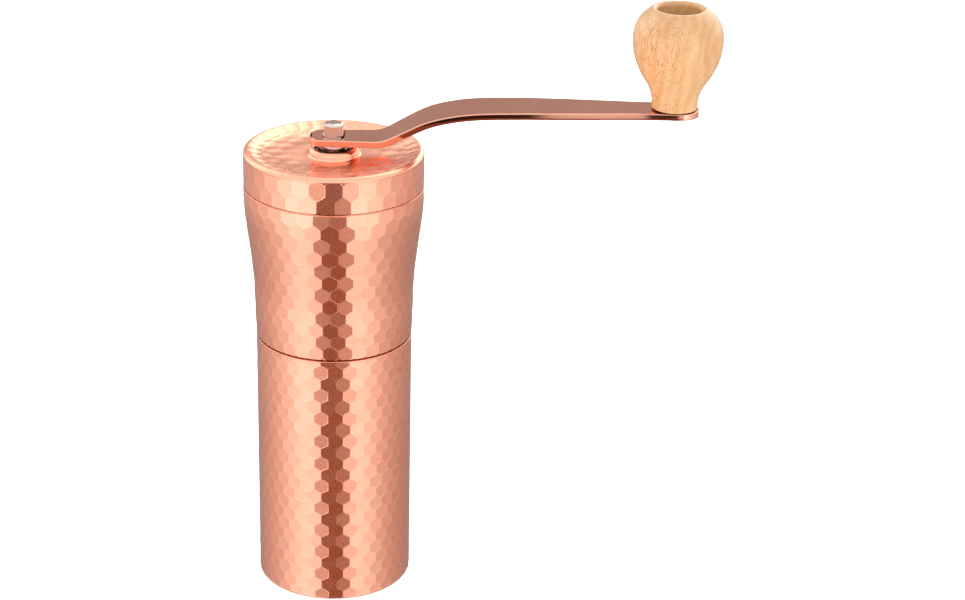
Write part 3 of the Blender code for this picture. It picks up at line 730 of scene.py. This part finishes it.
def roll_sheet(sheet, levels, radius_at, turn, seed):
    """Roll the sheet round the mill, its rows at the given heights, and press each hexagon flat."""
    chance = random.Random(seed)
    pitch = TAU / sizes().facets
    tilt = sizes().press

    def height_at(y):
        """Height of a place on the sheet, counted in rows."""
        row = held(math.floor(y), 0, len(levels) - 2)
        return levels[row] + (levels[row + 1] - levels[row]) * (y - row)

    def rolled(co):
        """Angle and height that a point of the sheet comes to."""
        return turn + co.x / MM / FACET_W * pitch, height_at(co.y / MM / FACET_ROW)

    mesh = bmesh.new()
    mesh.from_mesh(sheet.data)
    radii = {}
    for face in mesh.faces:
        if len(face.verts) != 6:
            continue
        around, z = rolled(face.calc_center_median())
        slope = (radius_at(z + 0.5) - radius_at(z - 0.5)) + chance.uniform(-tilt, tilt)
        lean = chance.uniform(-tilt, tilt) * radius_at(z)
        middle = radius_at(z) * math.cos(pitch / 2)
        for v in face.verts:
            for edge in v.link_edges:
                other = edge.other_vert(v)
                for point in (v,) if other in face.verts else (other,):
                    turned, height = rolled(point.co)
                    off = turned - around
                    reach = (middle + slope * (height - z) + lean * math.sin(off)) / math.cos(off)
                    radii.setdefault(point, []).append(reach - (sizes().sunk / MM if point is v else 0.0))
    for v in mesh.verts:
        around, z = rolled(v.co)
        reach = min(sum(radii[v]) / len(radii[v]), radius_at(z))
        v.co = Vector((reach * math.sin(around), -reach * math.cos(around), z)) * MM
    mesh.to_mesh(sheet.data)
    mesh.free()
    edit(sheet)
    bpy.ops.mesh.remove_doubles(threshold=MERGE_SHEET)
    bpy.ops.object.mode_set(mode="OBJECT")


def trim(sheet, low, high):
    """Cut the rolled sheet off level at both ends."""
    for z, up in ((low, False), (high, True)):
        edit(sheet)
        bpy.ops.mesh.bisect(
            plane_co=(0.0, 0.0, z * MM), plane_no=(0.0, 0.0, 1.0), clear_inner=not up, clear_outer=up
        )
    bpy.ops.object.mode_set(mode="OBJECT")


def pressed(radius_at):
    """Tells the pressed hexagons of a shell from its other faces: large, outside and upright."""
    least_area = 1.5 * MM * MM

    def wanted(face):
        x, y, z = face.calc_center_median() / MM
        outside = math.hypot(x, y) > radius_at(z) - 0.4
        return outside and face.calc_area() > least_area and abs(face.normal.z) < 0.5

    return wanted


def facing_camera(degrees):
    """Angle round the mill, counted from where the camera stands."""
    return math.radians(CAMERA_AROUND + degrees)


def border_facing(degrees):
    """The same, less half a facet, so that a border comes where a facet's middle would."""
    return facing_camera(degrees - 180 / sizes().facets)


# ---------------------------------------------------------------- copper shells


def make_cup():
    """The catch cup: a straight faceted tube with a rounded lip and a closed, slightly hollow foot."""
    rows, row_pitch, lowest_row = 24, 4.165, -2.57
    foot_round, hollow, lip = 0.8, 0.35, 0.15
    inside, floor_z, corner = CUP_R - SHEET, 1.2, 2.0
    facets_z0, facets_z1 = foot_round + 0.5, CUP_Z1 - 0.6
    sheet = facet_sheet("cup_shell", rows)
    levels = [lowest_row + row_pitch * i for i in range(rows)]
    roll_sheet(sheet, levels, lambda z: CUP_R, border_facing(0.7), seed=3)
    trim(sheet, facets_z0, facets_z1)
    edit(sheet, False)
    select_edges(sheet, loop_at(facets_z1))
    draw_on(sheet, [(CUP_R - 0.02, CUP_Z1 - 0.4), (CUP_R, CUP_Z1 - 0.25)])
    draw_on(sheet, arc(CUP_R - lip, CUP_Z1 - lip, lip, 20, 90, 4))
    draw_on(sheet, [(inside + lip, CUP_Z1), (inside, CUP_Z1 - lip)])
    draw_on(sheet, [(inside, 30.0), (inside, floor_z + corner)])
    draw_on(sheet, arc(inside - corner, floor_z + corner, corner, -15, -90, 6))
    draw_on(sheet, [(12.0, floor_z), (0.5, floor_z)])
    bpy.ops.mesh.edge_face_add()
    select_edges(sheet, loop_at(facets_z0, CUP_R - 2.0))
    draw_on(sheet, [(CUP_R - 0.01, foot_round)])
    draw_on(sheet, arc(CUP_R - foot_round, foot_round, foot_round, -15, -90, 6))
    draw_on(sheet, [(CUP_R - 2.4, 0.0), (CUP_R - 2.9, hollow), (8.0, hollow), (0.5, hollow)])
    bpy.ops.mesh.edge_face_add()
    outward(sheet)
    settle(sheet, "cup", "satin_copper", "catch_cup", flat=pressed(lambda z: CUP_R))


def make_body():
    """The body: a flared faceted tube, with a thin spigot in the seam at either end.

    A slit of 0.3 mm is left between its foot and its facets: it shows as the dark line of the seam.
    """
    top_row, above_top, last_row, below_last, stretch = 139.5, 4.6, BODY_Z0 - 9.0, 4.2, 0.75
    # rows lie further apart where the body is wider; they come in pairs
    levels = [top_row + above_top]
    while levels[-1] > last_row:
        z = levels[-1]
        levels.append(z - FACET_ROW * (body_r(z - 2.0) / CUP_R) ** stretch)
    levels += [levels[-1] - below_last] * (len(levels) % 2)
    levels.reverse()
    sheet = facet_sheet("body_sleeve", len(levels))
    even_rows_lead = (len(levels) - 2) % 2 == 0
    turn = facing_camera(2.6) if even_rows_lead else border_facing(2.6)
    roll_sheet(sheet, levels, body_r, turn, seed=5)
    facets_z1 = BODY_Z1 - 0.25
    trim(sheet, BODY_Z0 + 0.4, facets_z1)
    edit(sheet, False)
    r1, r0 = body_r(BODY_Z1), body_r(BODY_Z0)
    top_in, foot_in, play, inner_rings = 0.35, 0.7, 0.03, 14
    select_edges(sheet, loop_at(facets_z1))
    draw_on(sheet, [(r1 - 0.04, BODY_Z1 - 0.08), (r1 - 0.12, BODY_Z1), (r1 - top_in, BODY_Z1)])
    draw_on(sheet, [(r1 - top_in, LID_Z0 - play), (r1 - SHEET, LID_Z0 - play)])
    heights = [BODY_Z1 + (BODY_Z0 - BODY_Z1) * i / inner_rings for i in range(1, inner_rings + 1)]
    draw_on(sheet, [(body_r(z) - SHEET, z) for z in heights])
    draw_on(sheet, [(r0 - SHEET, CUP_Z1 + play), (r0 - foot_in, CUP_Z1 + play)])
    draw_on(sheet, [(r0 - foot_in, BODY_Z0 + 0.05)])
    draw_on(sheet, [(r0 - 0.14, BODY_Z0), (r0 - 0.03, BODY_Z0 + 0.1)])
    outward(sheet)
    settle(sheet, "body", "satin_copper", "body_shell", flat=pressed(body_r))


def dent(x, y):
    """How far the lid's dish is pressed down at a place, as a share.

    Soft uneven dents in staggered rows, a slow wave under them, and a scallop for each facet at the rim.
    """
    away = math.hypot(x, y)
    pitch, wander, bowl_r = 6.2, 0.7, 3.9
    row = pitch * ROOT3 / 2
    soft = 0.0
    nearest = int(round(y / row))
    for j in (nearest - 1, nearest, nearest + 1):
        shift = pitch / 2 if j % 2 else 0.0
        i = round((x - shift) / pitch)
        chance = random.Random(1000 * i + j)
        off_x = x - shift - i * pitch - chance.uniform(-wander, wander)
        off_y = y - j * row - chance.uniform(-wander, wander)
        soft += max(0.0, 1 - (math.hypot(off_x, off_y) / bowl_r) ** 2) ** 2 * chance.uniform(0.5, 1.0)
    soft *= held((away - 10.0) / 9.0, low=0.12) * held((24.2 - away) / 1.4)
    wave = 0.5 * math.sin(x / 4.6 + 0.9) * math.sin(y / 4.1 + 0.5)
    wave *= held((24.0 - away) / 6.0) * held((away - 9.2) / 3.0)
    step = TAU / sizes().facets
    around = math.atan2(x, -y) - facing_camera(0.0)
    off = (around / step - round(around / step)) * step * away
    scallop_half, scallop_r, scallop_reach = 2.6, 25.5, 2.2
    scallop = max(0.0, 1 - (off / scallop_half) ** 2 - ((away - scallop_r) / scallop_reach) ** 2)
    return soft + wave + 0.85 * scallop


def make_lid():
    """The lid: faceted side, rounded rim, and a dented dish with a bead round its bore.

    A slit of 0.2 mm is left between its foot and its facets: it shows as the dark line of the seam.
    """
    rows, row_pitch, middle_row, rim = 6, 5.7, 149.7, 1.5
    side_z1 = LID_RIM_Z - rim
    facets_z1 = side_z1 - 0.15
    sheet = facet_sheet("lid_cap", rows)
    levels = [middle_row + row_pitch * (i - rows // 2) for i in range(rows)]
    roll_sheet(sheet, levels, lambda z: LID_R, border_facing(0.0), seed=9)
    trim(sheet, LID_Z0 + 0.3, facets_z1)
    edit(sheet, False)
    select_edges(sheet, loop_at(facets_z1))
    bpy.ops.mesh.subdivide(number_cuts=5)
    select_edges(sheet, loop_at(facets_z1))
    draw_on(sheet, [(LID_R - 0.03, side_z1 + 0.1)] + arc(LID_R - rim, side_z1, rim, 12, 100, 8))
    dish_r0, dish_r1, dish_rings = 9.0, LID_R - rim - 0.6, 44
    rise = ((8.0, 0.0), (18.0, 0.1), (24.0, 0.42), (26.2, 0.8), (dish_r1, 0.97))
    radii = [dish_r1 + (dish_r0 - dish_r1) * i / dish_rings for i in range(1, dish_rings + 1)]
    draw_on(sheet, [(r, DISH_Z + LID_DISH * smooth(rise, r)) for r in radii])
    draw_on(sheet, [(r, DISH_Z + up) for r, up in BEAD])
    under = LID_R - SHEET
    draw_on(sheet, [(17.0, DISH_Z - SHEET + 0.1), (under - rim, DISH_Z - 0.1), (under, side_z1 - SHEET)])
    draw_on(sheet, [(under, LID_Z0 + 0.1), (under + 0.1, LID_Z0)])
    draw_on(sheet, [(LID_R - 0.25, LID_Z0), (LID_R - 0.06, LID_Z0 + 0.1)])
    outward(sheet)
    for v in sheet.data.vertices:
        x, y, z = v.co / MM
        if dish_r0 < math.hypot(x, y) < LID_R - rim and z > DISH_Z - 0.3:
            v.co.z -= sizes().dent * dent(x, y)
    settle(sheet, "lid", "satin_copper", "lid", flat=pressed(lambda z: LID_R))


# ---------------------------------------------------------------- shaft, arm and knob


def flats(across, count, corner):
    """Radius at an angle of a bar with flat sides, its corners turned down: one corner points to +Y."""

    def radius(around):
        off = (around - math.pi / 2) % (TAU / count) - math.pi / count
        return min(across / 2 / math.cos(off), corner)

    return radius


def make_shaft():
    """The drive shaft: threaded foot, squared seat for the burr, round middle and domed hexagon head."""
    z0, z1 = foot_of("drive_shaft"), top_of("drive_shaft")
    seat_z0, seat_z1, head_z0 = 77.4, 93.5, COLLAR_Z0 + 1.0
    thread, middle, pitch, depth, sides = 2.4, 3.6, 0.8, 0.3, 120
    seat, head = flats(5.0, 4, 3.5), flats(HEX_AF, 6, 3.42)

    def plain(radius):
        return lambda around: radius

    sections = [(plain(thread - 0.5), z0), (plain(thread), z0 + 0.5)]
    z = z0 + 0.9
    while z < seat_z0 - pitch:
        sections += [(plain(thread - depth), z), (plain(thread), z + pitch / 2)]
        z += pitch
    sections += [(plain(thread), seat_z0), (seat, seat_z0 + 0.1), (seat, seat_z1)]
    sections += [(plain(middle - 0.2), seat_z1 + 0.1), (plain(middle), seat_z1 + 0.3)]
    sections += [(plain(middle), head_z0 - 0.2), (head, head_z0), (head, z1 - 0.6)]
    sections += [(lambda around, share=share: head(around) * share, z1 - down) for share, down in DOME]
    shaft = start_ring("drive_shaft_bar", sides, thread, (0.0, 0.0, z0))
    edit(shaft)
    for i, (radius, z) in enumerate(sections):
        if i:
            bpy.ops.mesh.extrude_region_move()

        def place(x, y, _):
            around = math.atan2(y, x)
            return radius(around) * math.cos(around), radius(around) * math.sin(around), z

        move_selected(shaft, place)
    cap_ends(shaft, sides)
    settle(shaft, "shaft", "steel", "drive_shaft")


def make_collar():
    """The chrome sleeve round the shaft's hexagon, with a groove under its rounded lip."""
    bore, neck, lip = COLLAR_R - 0.7, COLLAR_R - 0.22, 0.3
    rings = [(COLLAR_R, COLLAR_Z0), (COLLAR_R, COLLAR_Z1 - 1.6), (neck, COLLAR_Z1 - 1.45)]
    rings += [(neck, COLLAR_Z1 - 1.2), (COLLAR_R, COLLAR_Z1 - 1.05)]
    rings += arc(COLLAR_R - lip, COLLAR_Z1 - lip, lip, 0, 90, 5)
    rings += [(bore, COLLAR_Z1), (bore, COLLAR_Z0)]
    settle(lathe("chrome_collar", rings, 96, ring=True), "shaft", "chrome", "shaft_collar")


def arm_stations():
    """Places along the arm, heel to toe, each with the arm's half width there."""
    half_at = HEEL_HALF + tuple((KNOB_X + x, half) for x, half in TOE_HALF)
    heel_x, toe_x = HEEL_HALF[0][0], half_at[-1][0]
    heel_turn = math.acos(-heel_x / HEEL_R)
    arcs, steps = 14, 110
    found = []
    for i in range(arcs):
        turn = heel_turn * max(i, 0.6) / arcs
        found.append((-HEEL_R * math.cos(turn), HEEL_R * math.sin(turn)))
    for i in range(steps + 1):
        x = heel_x + (toe_x - heel_x) * i / steps
        found.append((x, smooth(half_at, x)))
    for i in range(1, arcs + 1):
        turn = math.pi / 2 * min(i, arcs - 0.6) / arcs
        found.append((toe_x + TOE_R * math.sin(turn), TOE_R * math.cos(turn)))
    return found


def make_arm():
    """The crank arm: an edge drawn along its outline, bent up, thickened, pierced and rounded."""
    top = ARM_Z0 + ARM_T
    rise = TOE_Z1 - ARM_Z0 - ARM_T
    (x0, half0), *stations = arm_stations()
    arm = start_ring("crank_lever", 4, half0, (x0, 0.0, top))
    edit(arm, False)
    mesh = bmesh.from_edit_mesh(arm.data)
    ends = [v for v in mesh.verts if abs(v.co.y) < MERGE]
    bmesh.ops.delete(mesh, geom=ends, context="VERTS")
    mesh.edges.new(sorted(mesh.verts, key=lambda v: v.co.y))
    bmesh.update_edit_mesh(arm.data)
    bpy.ops.mesh.select_all(action="SELECT")
    for x, half in stations:
        z = top + rise * smooth(BEND, x)
        bpy.ops.mesh.extrude_region_move()
        move_selected(arm, lambda _, y, __: (x, math.copysign(half, y), z))
    bpy.ops.mesh.select_all(action="SELECT")
    bpy.ops.mesh.normals_make_consistent(inside=False)
    bpy.ops.object.mode_set(mode="OBJECT")
    up = sum(p.normal.z for p in arm.data.polygons) > 0
    apply_modifier(
        arm, "SOLIDIFY", thickness=ARM_T * MM, offset=-1.0 if up else 1.0, use_even_offset=True
    )
    drill(arm, 6, (HEX_AF + HEX_PLAY) / ROOT3, 0.0, ARM_Z0)
    drill(arm, 48, PIN_BORE, KNOB_X, TOE_Z1)
    outward(arm)
    round_edges(arm, 0.34, 3, 50, clamp=False)
    settle(arm, "arm", "bright_copper", "crank_arm")


def make_knob():
    """The turned beech knob, open at the top over its pin."""
    mouth, well = 7.1, KNOB_Z1 - 8.5
    first, last = 0.02, PEAR[-1][0]
    foot, skirt, skirt_round, steps = KNOB_R * PEAR[0][1], 0.4, 0.3, 46
    rings = [(KNOB_BORE, KNOB_Z0), (foot - 0.85, KNOB_Z0), (foot - 0.8, KNOB_Z0 - skirt)]
    rings += arc(foot - skirt_round, KNOB_Z0 - skirt + skirt_round, skirt_round, -90, 0, 4)
    for i in range(1, steps + 1):
        share = first + (last - first) * i / steps
        rings.append((KNOB_R * smooth(PEAR, share), KNOB_Z0 + KNOB_H * share))
    rings += [(mouth + out, KNOB_Z1 - down) for out, down in LIP]
    rings += [(mouth, well + 1.0), (mouth - 0.3, well + 0.3), (mouth - 1.0, well), (KNOB_BORE, well)]
    settle(lathe("beech_knob", rings, 128, (KNOB_X, 0.0), ring=True), "knob", "beech", "knob")


def make_knob_fixings():
    """The slotted pin on which the knob turns, its washer, and the collar that holds it under the arm."""
    about, sides = (KNOB_X, 0.0), 64
    # the pin's foot and the collar stay hidden behind the arm's edge, short of their plain nodes
    z0, z1 = foot_of("knob_pin") + 1.3, top_of("knob_pin")
    head_r, head_z0, head_round = 5.4, top_of("knob_pin") - 2.4, 0.7
    rings = [(PIN_R - 0.5, z0), (PIN_R, z0 + 0.5), (PIN_R, head_z0), (head_r - 0.2, head_z0)]
    rings += [(head_r, head_z0 + 0.2)] + arc(head_r - head_round, z1 - head_round, head_round, 0, 80, 6)
    pin = lathe("knob_pin_screw", rings, sides, about)
    deselect()
    slot = (0.02, 0.0012, 0.0022)
    bpy.ops.mesh.primitive_cube_add(size=1.0, location=(KNOB_X * MM, 0.0, z1 * MM), scale=slot)
    cut_by(pin, bpy.context.active_object)
    round_edges(pin, 0.07, 2, 50)
    settle(pin, "arm", "steel", "knob_pin")

    z0, z1, r = foot_of("knob_washer"), top_of("knob_washer"), radius_of("knob_washer") - 0.2
    rings = [(r - 0.1, z0), (r, z0 + 0.1), (r, z1 - 0.1), (r - 0.1, z1), (PIN_BORE, z1), (PIN_BORE, z0)]
    settle(lathe("knob_thrust_washer", rings, sides, about, ring=True), "arm", "steel", "knob_washer")

    z1, r = top_of("pin_collar"), radius_of("pin_collar") - 0.4
    z0 = z1 - 0.6
    rings = [(r - 0.3, z0), (r, z0 + 0.25), (r, z1 - 0.1), (r - 0.1, z1), (PIN_BORE, z1), (PIN_BORE, z0)]
    settle(lathe("pin_lock_collar", rings, sides, about, ring=True), "arm", "steel", "pin_collar")


def make_spring():
    """The compression spring above the burr: a wire drawn along a helix, its ends wound flat."""
    low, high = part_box("burr_spring")
    wire, sides = 0.45, 14
    reach = (high.x - low.x) / 2 / MM - wire
    z0, z1 = low.z / MM + wire, high.z / MM - wire
    turns, per_turn, flat_share = 5, 40, 0.19
    spring = start_ring("compression_spring", sides, wire, rotation=(math.pi / 2, 0.0, 0.0))
    section = [(v.co.x / MM, v.co.z / MM) for v in spring.data.vertices]
    edit(spring)
    for step in range(turns * per_turn + 1):
        if step:
            bpy.ops.mesh.extrude_region_move()
        around = TAU * step / per_turn
        share = step / (turns * per_turn)
        z = z0 + (z1 - z0) * held((share - flat_share) / (1 - 2 * flat_share))
        mesh = bmesh.from_edit_mesh(spring.data)
        chosen = sorted((v for v in mesh.verts if v.select), key=lambda v: v.index)
        for v, (out, up) in zip(chosen, section):
            away = reach + out
            v.co = Vector((away * math.cos(around), away * math.sin(around), z + up)) * MM
        bmesh.update_edit_mesh(spring.data)
    cap_ends(spring, sides)
    settle(spring, "shaft", "steel", "burr_spring")
    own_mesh(spring)


def finish_works():
    """Finish each remaining part of the works from its plain node.

    The node is merged, its flat faces are joined, and its edges are eased by what suits its material.
    """
    slots = {entry["node"]: entry["material_slot"] for entry in frame["record"]["subparts"]}
    ease = {"ceramic": 0.08, "bronze": 0.2, "steel": 0.1, "rubber": 0.25, "black_plastic": 0.25}
    for body, names in frame["record"]["behaviour"]["bodies"].items():
        for name in names:
            blank = frame["nodes"][name]
            if blank.hide_render:
                continue
            pick(blank)
            bpy.ops.object.duplicate()
            piece = bpy.context.active_object
            piece.name = "fine_" + name
            edit(piece)
            bpy.ops.mesh.remove_doubles(threshold=MERGE)
            bpy.ops.mesh.dissolve_limited(angle_limit=math.radians(0.5))
            bpy.ops.mesh.normals_make_consistent(inside=False)
            bpy.ops.object.mode_set(mode="OBJECT")
            round_edges(piece, ease[slots[name]], 2, 40)
            apply_modifier(piece, "TRIANGULATE", min_vertices=5)
            settle(piece, body, slots[name], name)


# ---------------------------------------------------------------- stage


def add_world():
    """Soft studio light: two wide pale screens, a narrow dark gap before the camera, and a dim back wall."""
    world = bpy.data.worlds.new("studio")
    bpy.context.scene.world = world
    world.use_nodes = True
    tree = world.node_tree
    place = add_node(tree, "ShaderNodeTexCoord").outputs["Generated"]
    up = add_node(tree, "ShaderNodeSeparateXYZ", inputs={"Vector": place}).outputs["Z"]
    ahead = math.radians(CAMERA_AROUND)
    across = vector_of(tree, "DOT_PRODUCT", place, (math.cos(ahead), math.sin(ahead), 0.0), out="Value")
    near = vector_of(tree, "DOT_PRODUCT", place, (math.sin(ahead), -math.cos(ahead), 0.0), out="Value")
    around = math_of(tree, "ARCTAN2", across, near)
    share = spread(tree, around, -math.pi, math.pi, 0.0, 1.0)

    def screens(*stops):
        """A ramp round the horizon: degrees from the camera's side, level, its green and blue shares."""
        return add_ramp(tree, share, *(
            (0.5 + turn / 360, (level, level * green, level * blue)) for turn, level, green, blue in stops
        ))

    low = screens(
        (-180, 0.4, 0.86, 0.84), (-154, 0.42, 0.86, 0.84), (-116, 0.68, 0.87, 0.85), (-94, 0.85, 0.93, 0.92),
        (-75, 1.06, 1.0, 1.0), (-50, 1.56, 1.0, 1.04), (-27, 1.52, 0.98, 1.02), (-17, 0.4, 0.45, 0.27),
        (-12, 0.31, 0.34, 0.17), (11, 0.31, 0.34, 0.17), (16, 0.4, 0.45, 0.27), (26, 1.63, 0.98, 1.02),
        (45, 1.36, 1.0, 1.02), (58, 1.06, 1.0, 1.0), (75, 0.82, 0.94, 0.93), (94, 0.68, 0.87, 0.85),
        (116, 0.55, 0.86, 0.84), (154, 0.4, 0.86, 0.84), (180, 0.4, 0.86, 0.84),
    )
    # what the arm's edge mirrors: a dark gap between the screens, with a few narrow slits
    gap = screens(
        (-20, 1.2, 1.0, 1.0), (-17, 0.04, 0.6, 0.5), (-2.7, 0.03, 0.6, 0.5), (-2.4, 0.16, 0.8, 0.12),
        (-1.8, 0.14, 0.8, 0.12), (-1.5, 0.03, 0.6, 0.5), (1.9, 0.03, 0.6, 0.5), (2.15, 0.04, 0.6, 0.5),
        (2.3, 0.9, 0.97, 0.95), (2.5, 0.9, 0.97, 0.95), (2.6, 0.04, 0.6, 0.5), (2.85, 0.05, 0.6, 0.5),
        (3.3, 0.95, 0.97, 0.95), (18, 1.2, 1.0, 1.0),
    )
    high = screens(
        (-180, 1.3, 0.98, 0.94), (-148, 1.7, 1.0, 0.96), (-125, 2.1, 1.0, 1.0), (-90, 1.3, 1.0, 1.0),
        (-20, 1.5, 1.0, 1.0), (0, 1.35, 0.98, 0.98), (20, 1.5, 1.0, 1.0), (90, 1.3, 1.0, 1.0),
        (125, 2.2, 1.0, 1.0), (150, 2.3, 1.0, 0.94), (170, 2.9, 0.99, 0.92), (180, 1.3, 0.98, 0.94),
    )

    def band(value, start, end, soft):
        """One between two values, zero outside them."""
        rise = spread(tree, value, start - soft, start, 0.0, 1.0)
        fall = spread(tree, value, end, end + soft, 1.0, 0.0)
        return math_of(tree, "MULTIPLY", rise, fall)

    def patch(around_band, up_band):
        """One in a patch of the sky, zero round it."""
        return math_of(tree, "MULTIPLY", band(share, *around_band), band(up, *up_band))

    # the light near the floor is brighter, and the gap is cut out of it
    low = vector_of(tree, "MULTIPLY", low, spread(tree, up, -0.41, -0.33, 1.0, 1.5))
    low = blend(tree, patch((0.5 - 19 / 360, 0.5 + 17 / 360, 0.003), (-0.35, -0.2, 0.003)), low, gap)
    mixed = blend(tree, spread(tree, up, -0.12, 0.1, 0.0, 1.0), low, high)
    # the dim wall that the flat of the arm mirrors, on either side of where the ramp closes
    wall, roof = (0.53, 0.437, 0.414, 1.0), (1.3, 1.3, 1.3, 1.0)
    for start, end in ((0.974, 1.1), (-0.1, 0.085)):
        mixed = blend(tree, patch((start, end, 0.006), (0.1, 0.375, 0.02)), mixed, wall)
    mixed = blend(tree, spread(tree, up, 0.8, 0.92, 0.0, 1.0), mixed, roof)
    tree.links.new(mixed, tree.nodes["Background"].inputs["Color"])


def add_floor():
    """A pale round floor, 3 m to its edge, that glows a little so that it stays near white."""
    deselect()
    bpy.ops.mesh.primitive_circle_add(vertices=96, radius=3.0, fill_type="NGON")
    floor = bpy.context.active_object
    floor.name = "studio_floor"
    material, _, shader = new_material("pale_floor", colours().floor, metallic=0.0, roughness=0.9)
    shader.inputs["Emission Color"].default_value = (1.0, 1.0, 1.0, 1.0)
    shader.inputs["Emission Strength"].default_value = 0.5
    floor.data.materials.append(material)
    floor.visible_glossy = False


def add_glow():
    """A small warm lamp, low beside the knob, for the light that the polished arm throws on it."""
    data = bpy.data.lights.new("glow", "AREA")
    data.energy = 0.0035
    data.color = (1.0, 0.36, 0.12)
    data.size = 0.02
    lamp = bpy.data.objects.new("glow", data)
    bpy.context.scene.collection.objects.link(lamp)
    place, aim = Vector((78.0, -34.0, 172.0)) * MM, Vector((104.0, 0.0, 180.0)) * MM
    lamp.location = place
    lamp.rotation_euler = (aim - place).to_track_quat("-Z", "Y").to_euler()
    lamp.visible_camera = False
    lamp.visible_glossy = False


def add_camera():
    """The camera, a little round from the mill's front and looking down at it."""
    around = math.radians(CAMERA_AROUND)
    data = bpy.data.cameras.new("camera")
    data.lens = CAMERA_LENS
    data.sensor_width = 36.0
    data.clip_start = 0.01
    data.clip_end = 20.0
    camera = bpy.data.objects.new("camera", data)
    bpy.context.scene.collection.objects.link(camera)
    away = CAMERA_AWAY * MM
    camera.location = (away * math.sin(around), -away * math.cos(around), CAMERA_HEIGHT * MM)
    aim = Euler((0.0, 0.0, around - math.radians(CAMERA_PAN))).to_matrix()
    down = Euler((math.radians(90 - CAMERA_DOWN), 0.0, 0.0)).to_matrix()
    roll = Euler((0.0, 0.0, math.radians(CAMERA_ROLL))).to_matrix()
    camera.rotation_euler = (aim @ down @ roll).to_euler()
    bpy.context.scene.camera = camera


def set_stage():
    """The studio: colour handling, light, floor, lamp and camera."""
    view = bpy.context.scene.view_settings
    view.view_transform = "Standard"
    view.look = "None"
    add_world()
    add_floor()
    add_glow()
    add_camera()


# ---------------------------------------------------------------- operators


class MILL_OT_stage(bpy.types.Operator):
    """Set up the studio: pale floor, soft light and camera"""

    bl_idname = "mill.stage"
    bl_label = "Studio"

    def execute(self, context):
        set_stage()
        return {"FINISHED"}


class MILL_OT_cup(bpy.types.Operator):
    """Make the faceted copper cup that catches the grounds"""

    bl_idname = "mill.cup"
    bl_label = "Catch cup"

    def execute(self, context):
        make_cup()
        return {"FINISHED"}


class MILL_OT_body(bpy.types.Operator):
    """Make the flared, faceted copper body"""

    bl_idname = "mill.body"
    bl_label = "Body"

    def execute(self, context):
        make_body()
        return {"FINISHED"}


class MILL_OT_lid(bpy.types.Operator):
    """Make the copper lid with its dented dish and beaded bore"""

    bl_idname = "mill.lid"
    bl_label = "Lid"

    def execute(self, context):
        make_lid()
        return {"FINISHED"}


class MILL_OT_shaft(bpy.types.Operator):
    """Make the steel drive shaft with its hexagon head"""

    bl_idname = "mill.shaft"
    bl_label = "Drive shaft"

    def execute(self, context):
        make_shaft()
        return {"FINISHED"}


class MILL_OT_collar(bpy.types.Operator):
    """Make the chrome collar round the shaft"""

    bl_idname = "mill.collar"
    bl_label = "Shaft collar"

    def execute(self, context):
        make_collar()
        return {"FINISHED"}


class MILL_OT_arm(bpy.types.Operator):
    """Make the polished crank arm"""

    bl_idname = "mill.arm"
    bl_label = "Crank arm"

    def execute(self, context):
        make_arm()
        return {"FINISHED"}


class MILL_OT_knob(bpy.types.Operator):
    """Make the turned beech knob"""

    bl_idname = "mill.knob"
    bl_label = "Knob"

    def execute(self, context):
        make_knob()
        return {"FINISHED"}


class MILL_OT_knob_fixings(bpy.types.Operator):
    """Make the knob's pin, washer and collar"""

    bl_idname = "mill.knob_fixings"
    bl_label = "Knob fixings"

    def execute(self, context):
        make_knob_fixings()
        return {"FINISHED"}


class MILL_OT_spring(bpy.types.Operator):
    """Make the spring above the burr"""

    bl_idname = "mill.spring"
    bl_label = "Burr spring"

    def execute(self, context):
        make_spring()
        return {"FINISHED"}


class MILL_OT_works(bpy.types.Operator):
    """Finish the parts of the works inside the mill"""

    bl_idname = "mill.works"
    bl_label = "Works"

    def execute(self, context):
        finish_works()
        return {"FINISHED"}


OPERATORS = (
    MILL_OT_stage, MILL_OT_cup, MILL_OT_body, MILL_OT_lid, MILL_OT_shaft, MILL_OT_collar, MILL_OT_arm,
    MILL_OT_knob, MILL_OT_knob_fixings, MILL_OT_spring, MILL_OT_works,
)


class MILL_PT_panel(bpy.types.Panel):
    """Lists the mill's settings and the steps that make it"""

    bl_idname = "MILL_PT_panel"
    bl_label = "Hand coffee mill"
    bl_space_type = "VIEW_3D"
    bl_region_type = "UI"
    bl_category = "Mill"

    def draw(self, context):
        for group in (context.scene.mill_sizes, context.scene.mill_colours):
            box = self.layout.box()
            for name in group.__annotations__:
                box.prop(group, name)
        for operator in OPERATORS:
            self.layout.operator(operator.bl_idname)


CLASSES = (MillSizes, MillColours, *OPERATORS, MILL_PT_panel)


def register():
    for cls in CLASSES:
        bpy.utils.register_class(cls)
    bpy.types.Scene.mill_sizes = bpy.props.PointerProperty(type=MillSizes)
    bpy.types.Scene.mill_colours = bpy.props.PointerProperty(type=MillColours)


def unregister():
    del bpy.types.Scene.mill_sizes
    del bpy.types.Scene.mill_colours
    for cls in reversed(CLASSES):
        bpy.utils.unregister_class(cls)


def main():
    register()
    for operator in OPERATORS:
        group, name = operator.bl_idname.split(".")
        getattr(getattr(bpy.ops, group), name)()


if __name__ == "__main__":
    main()
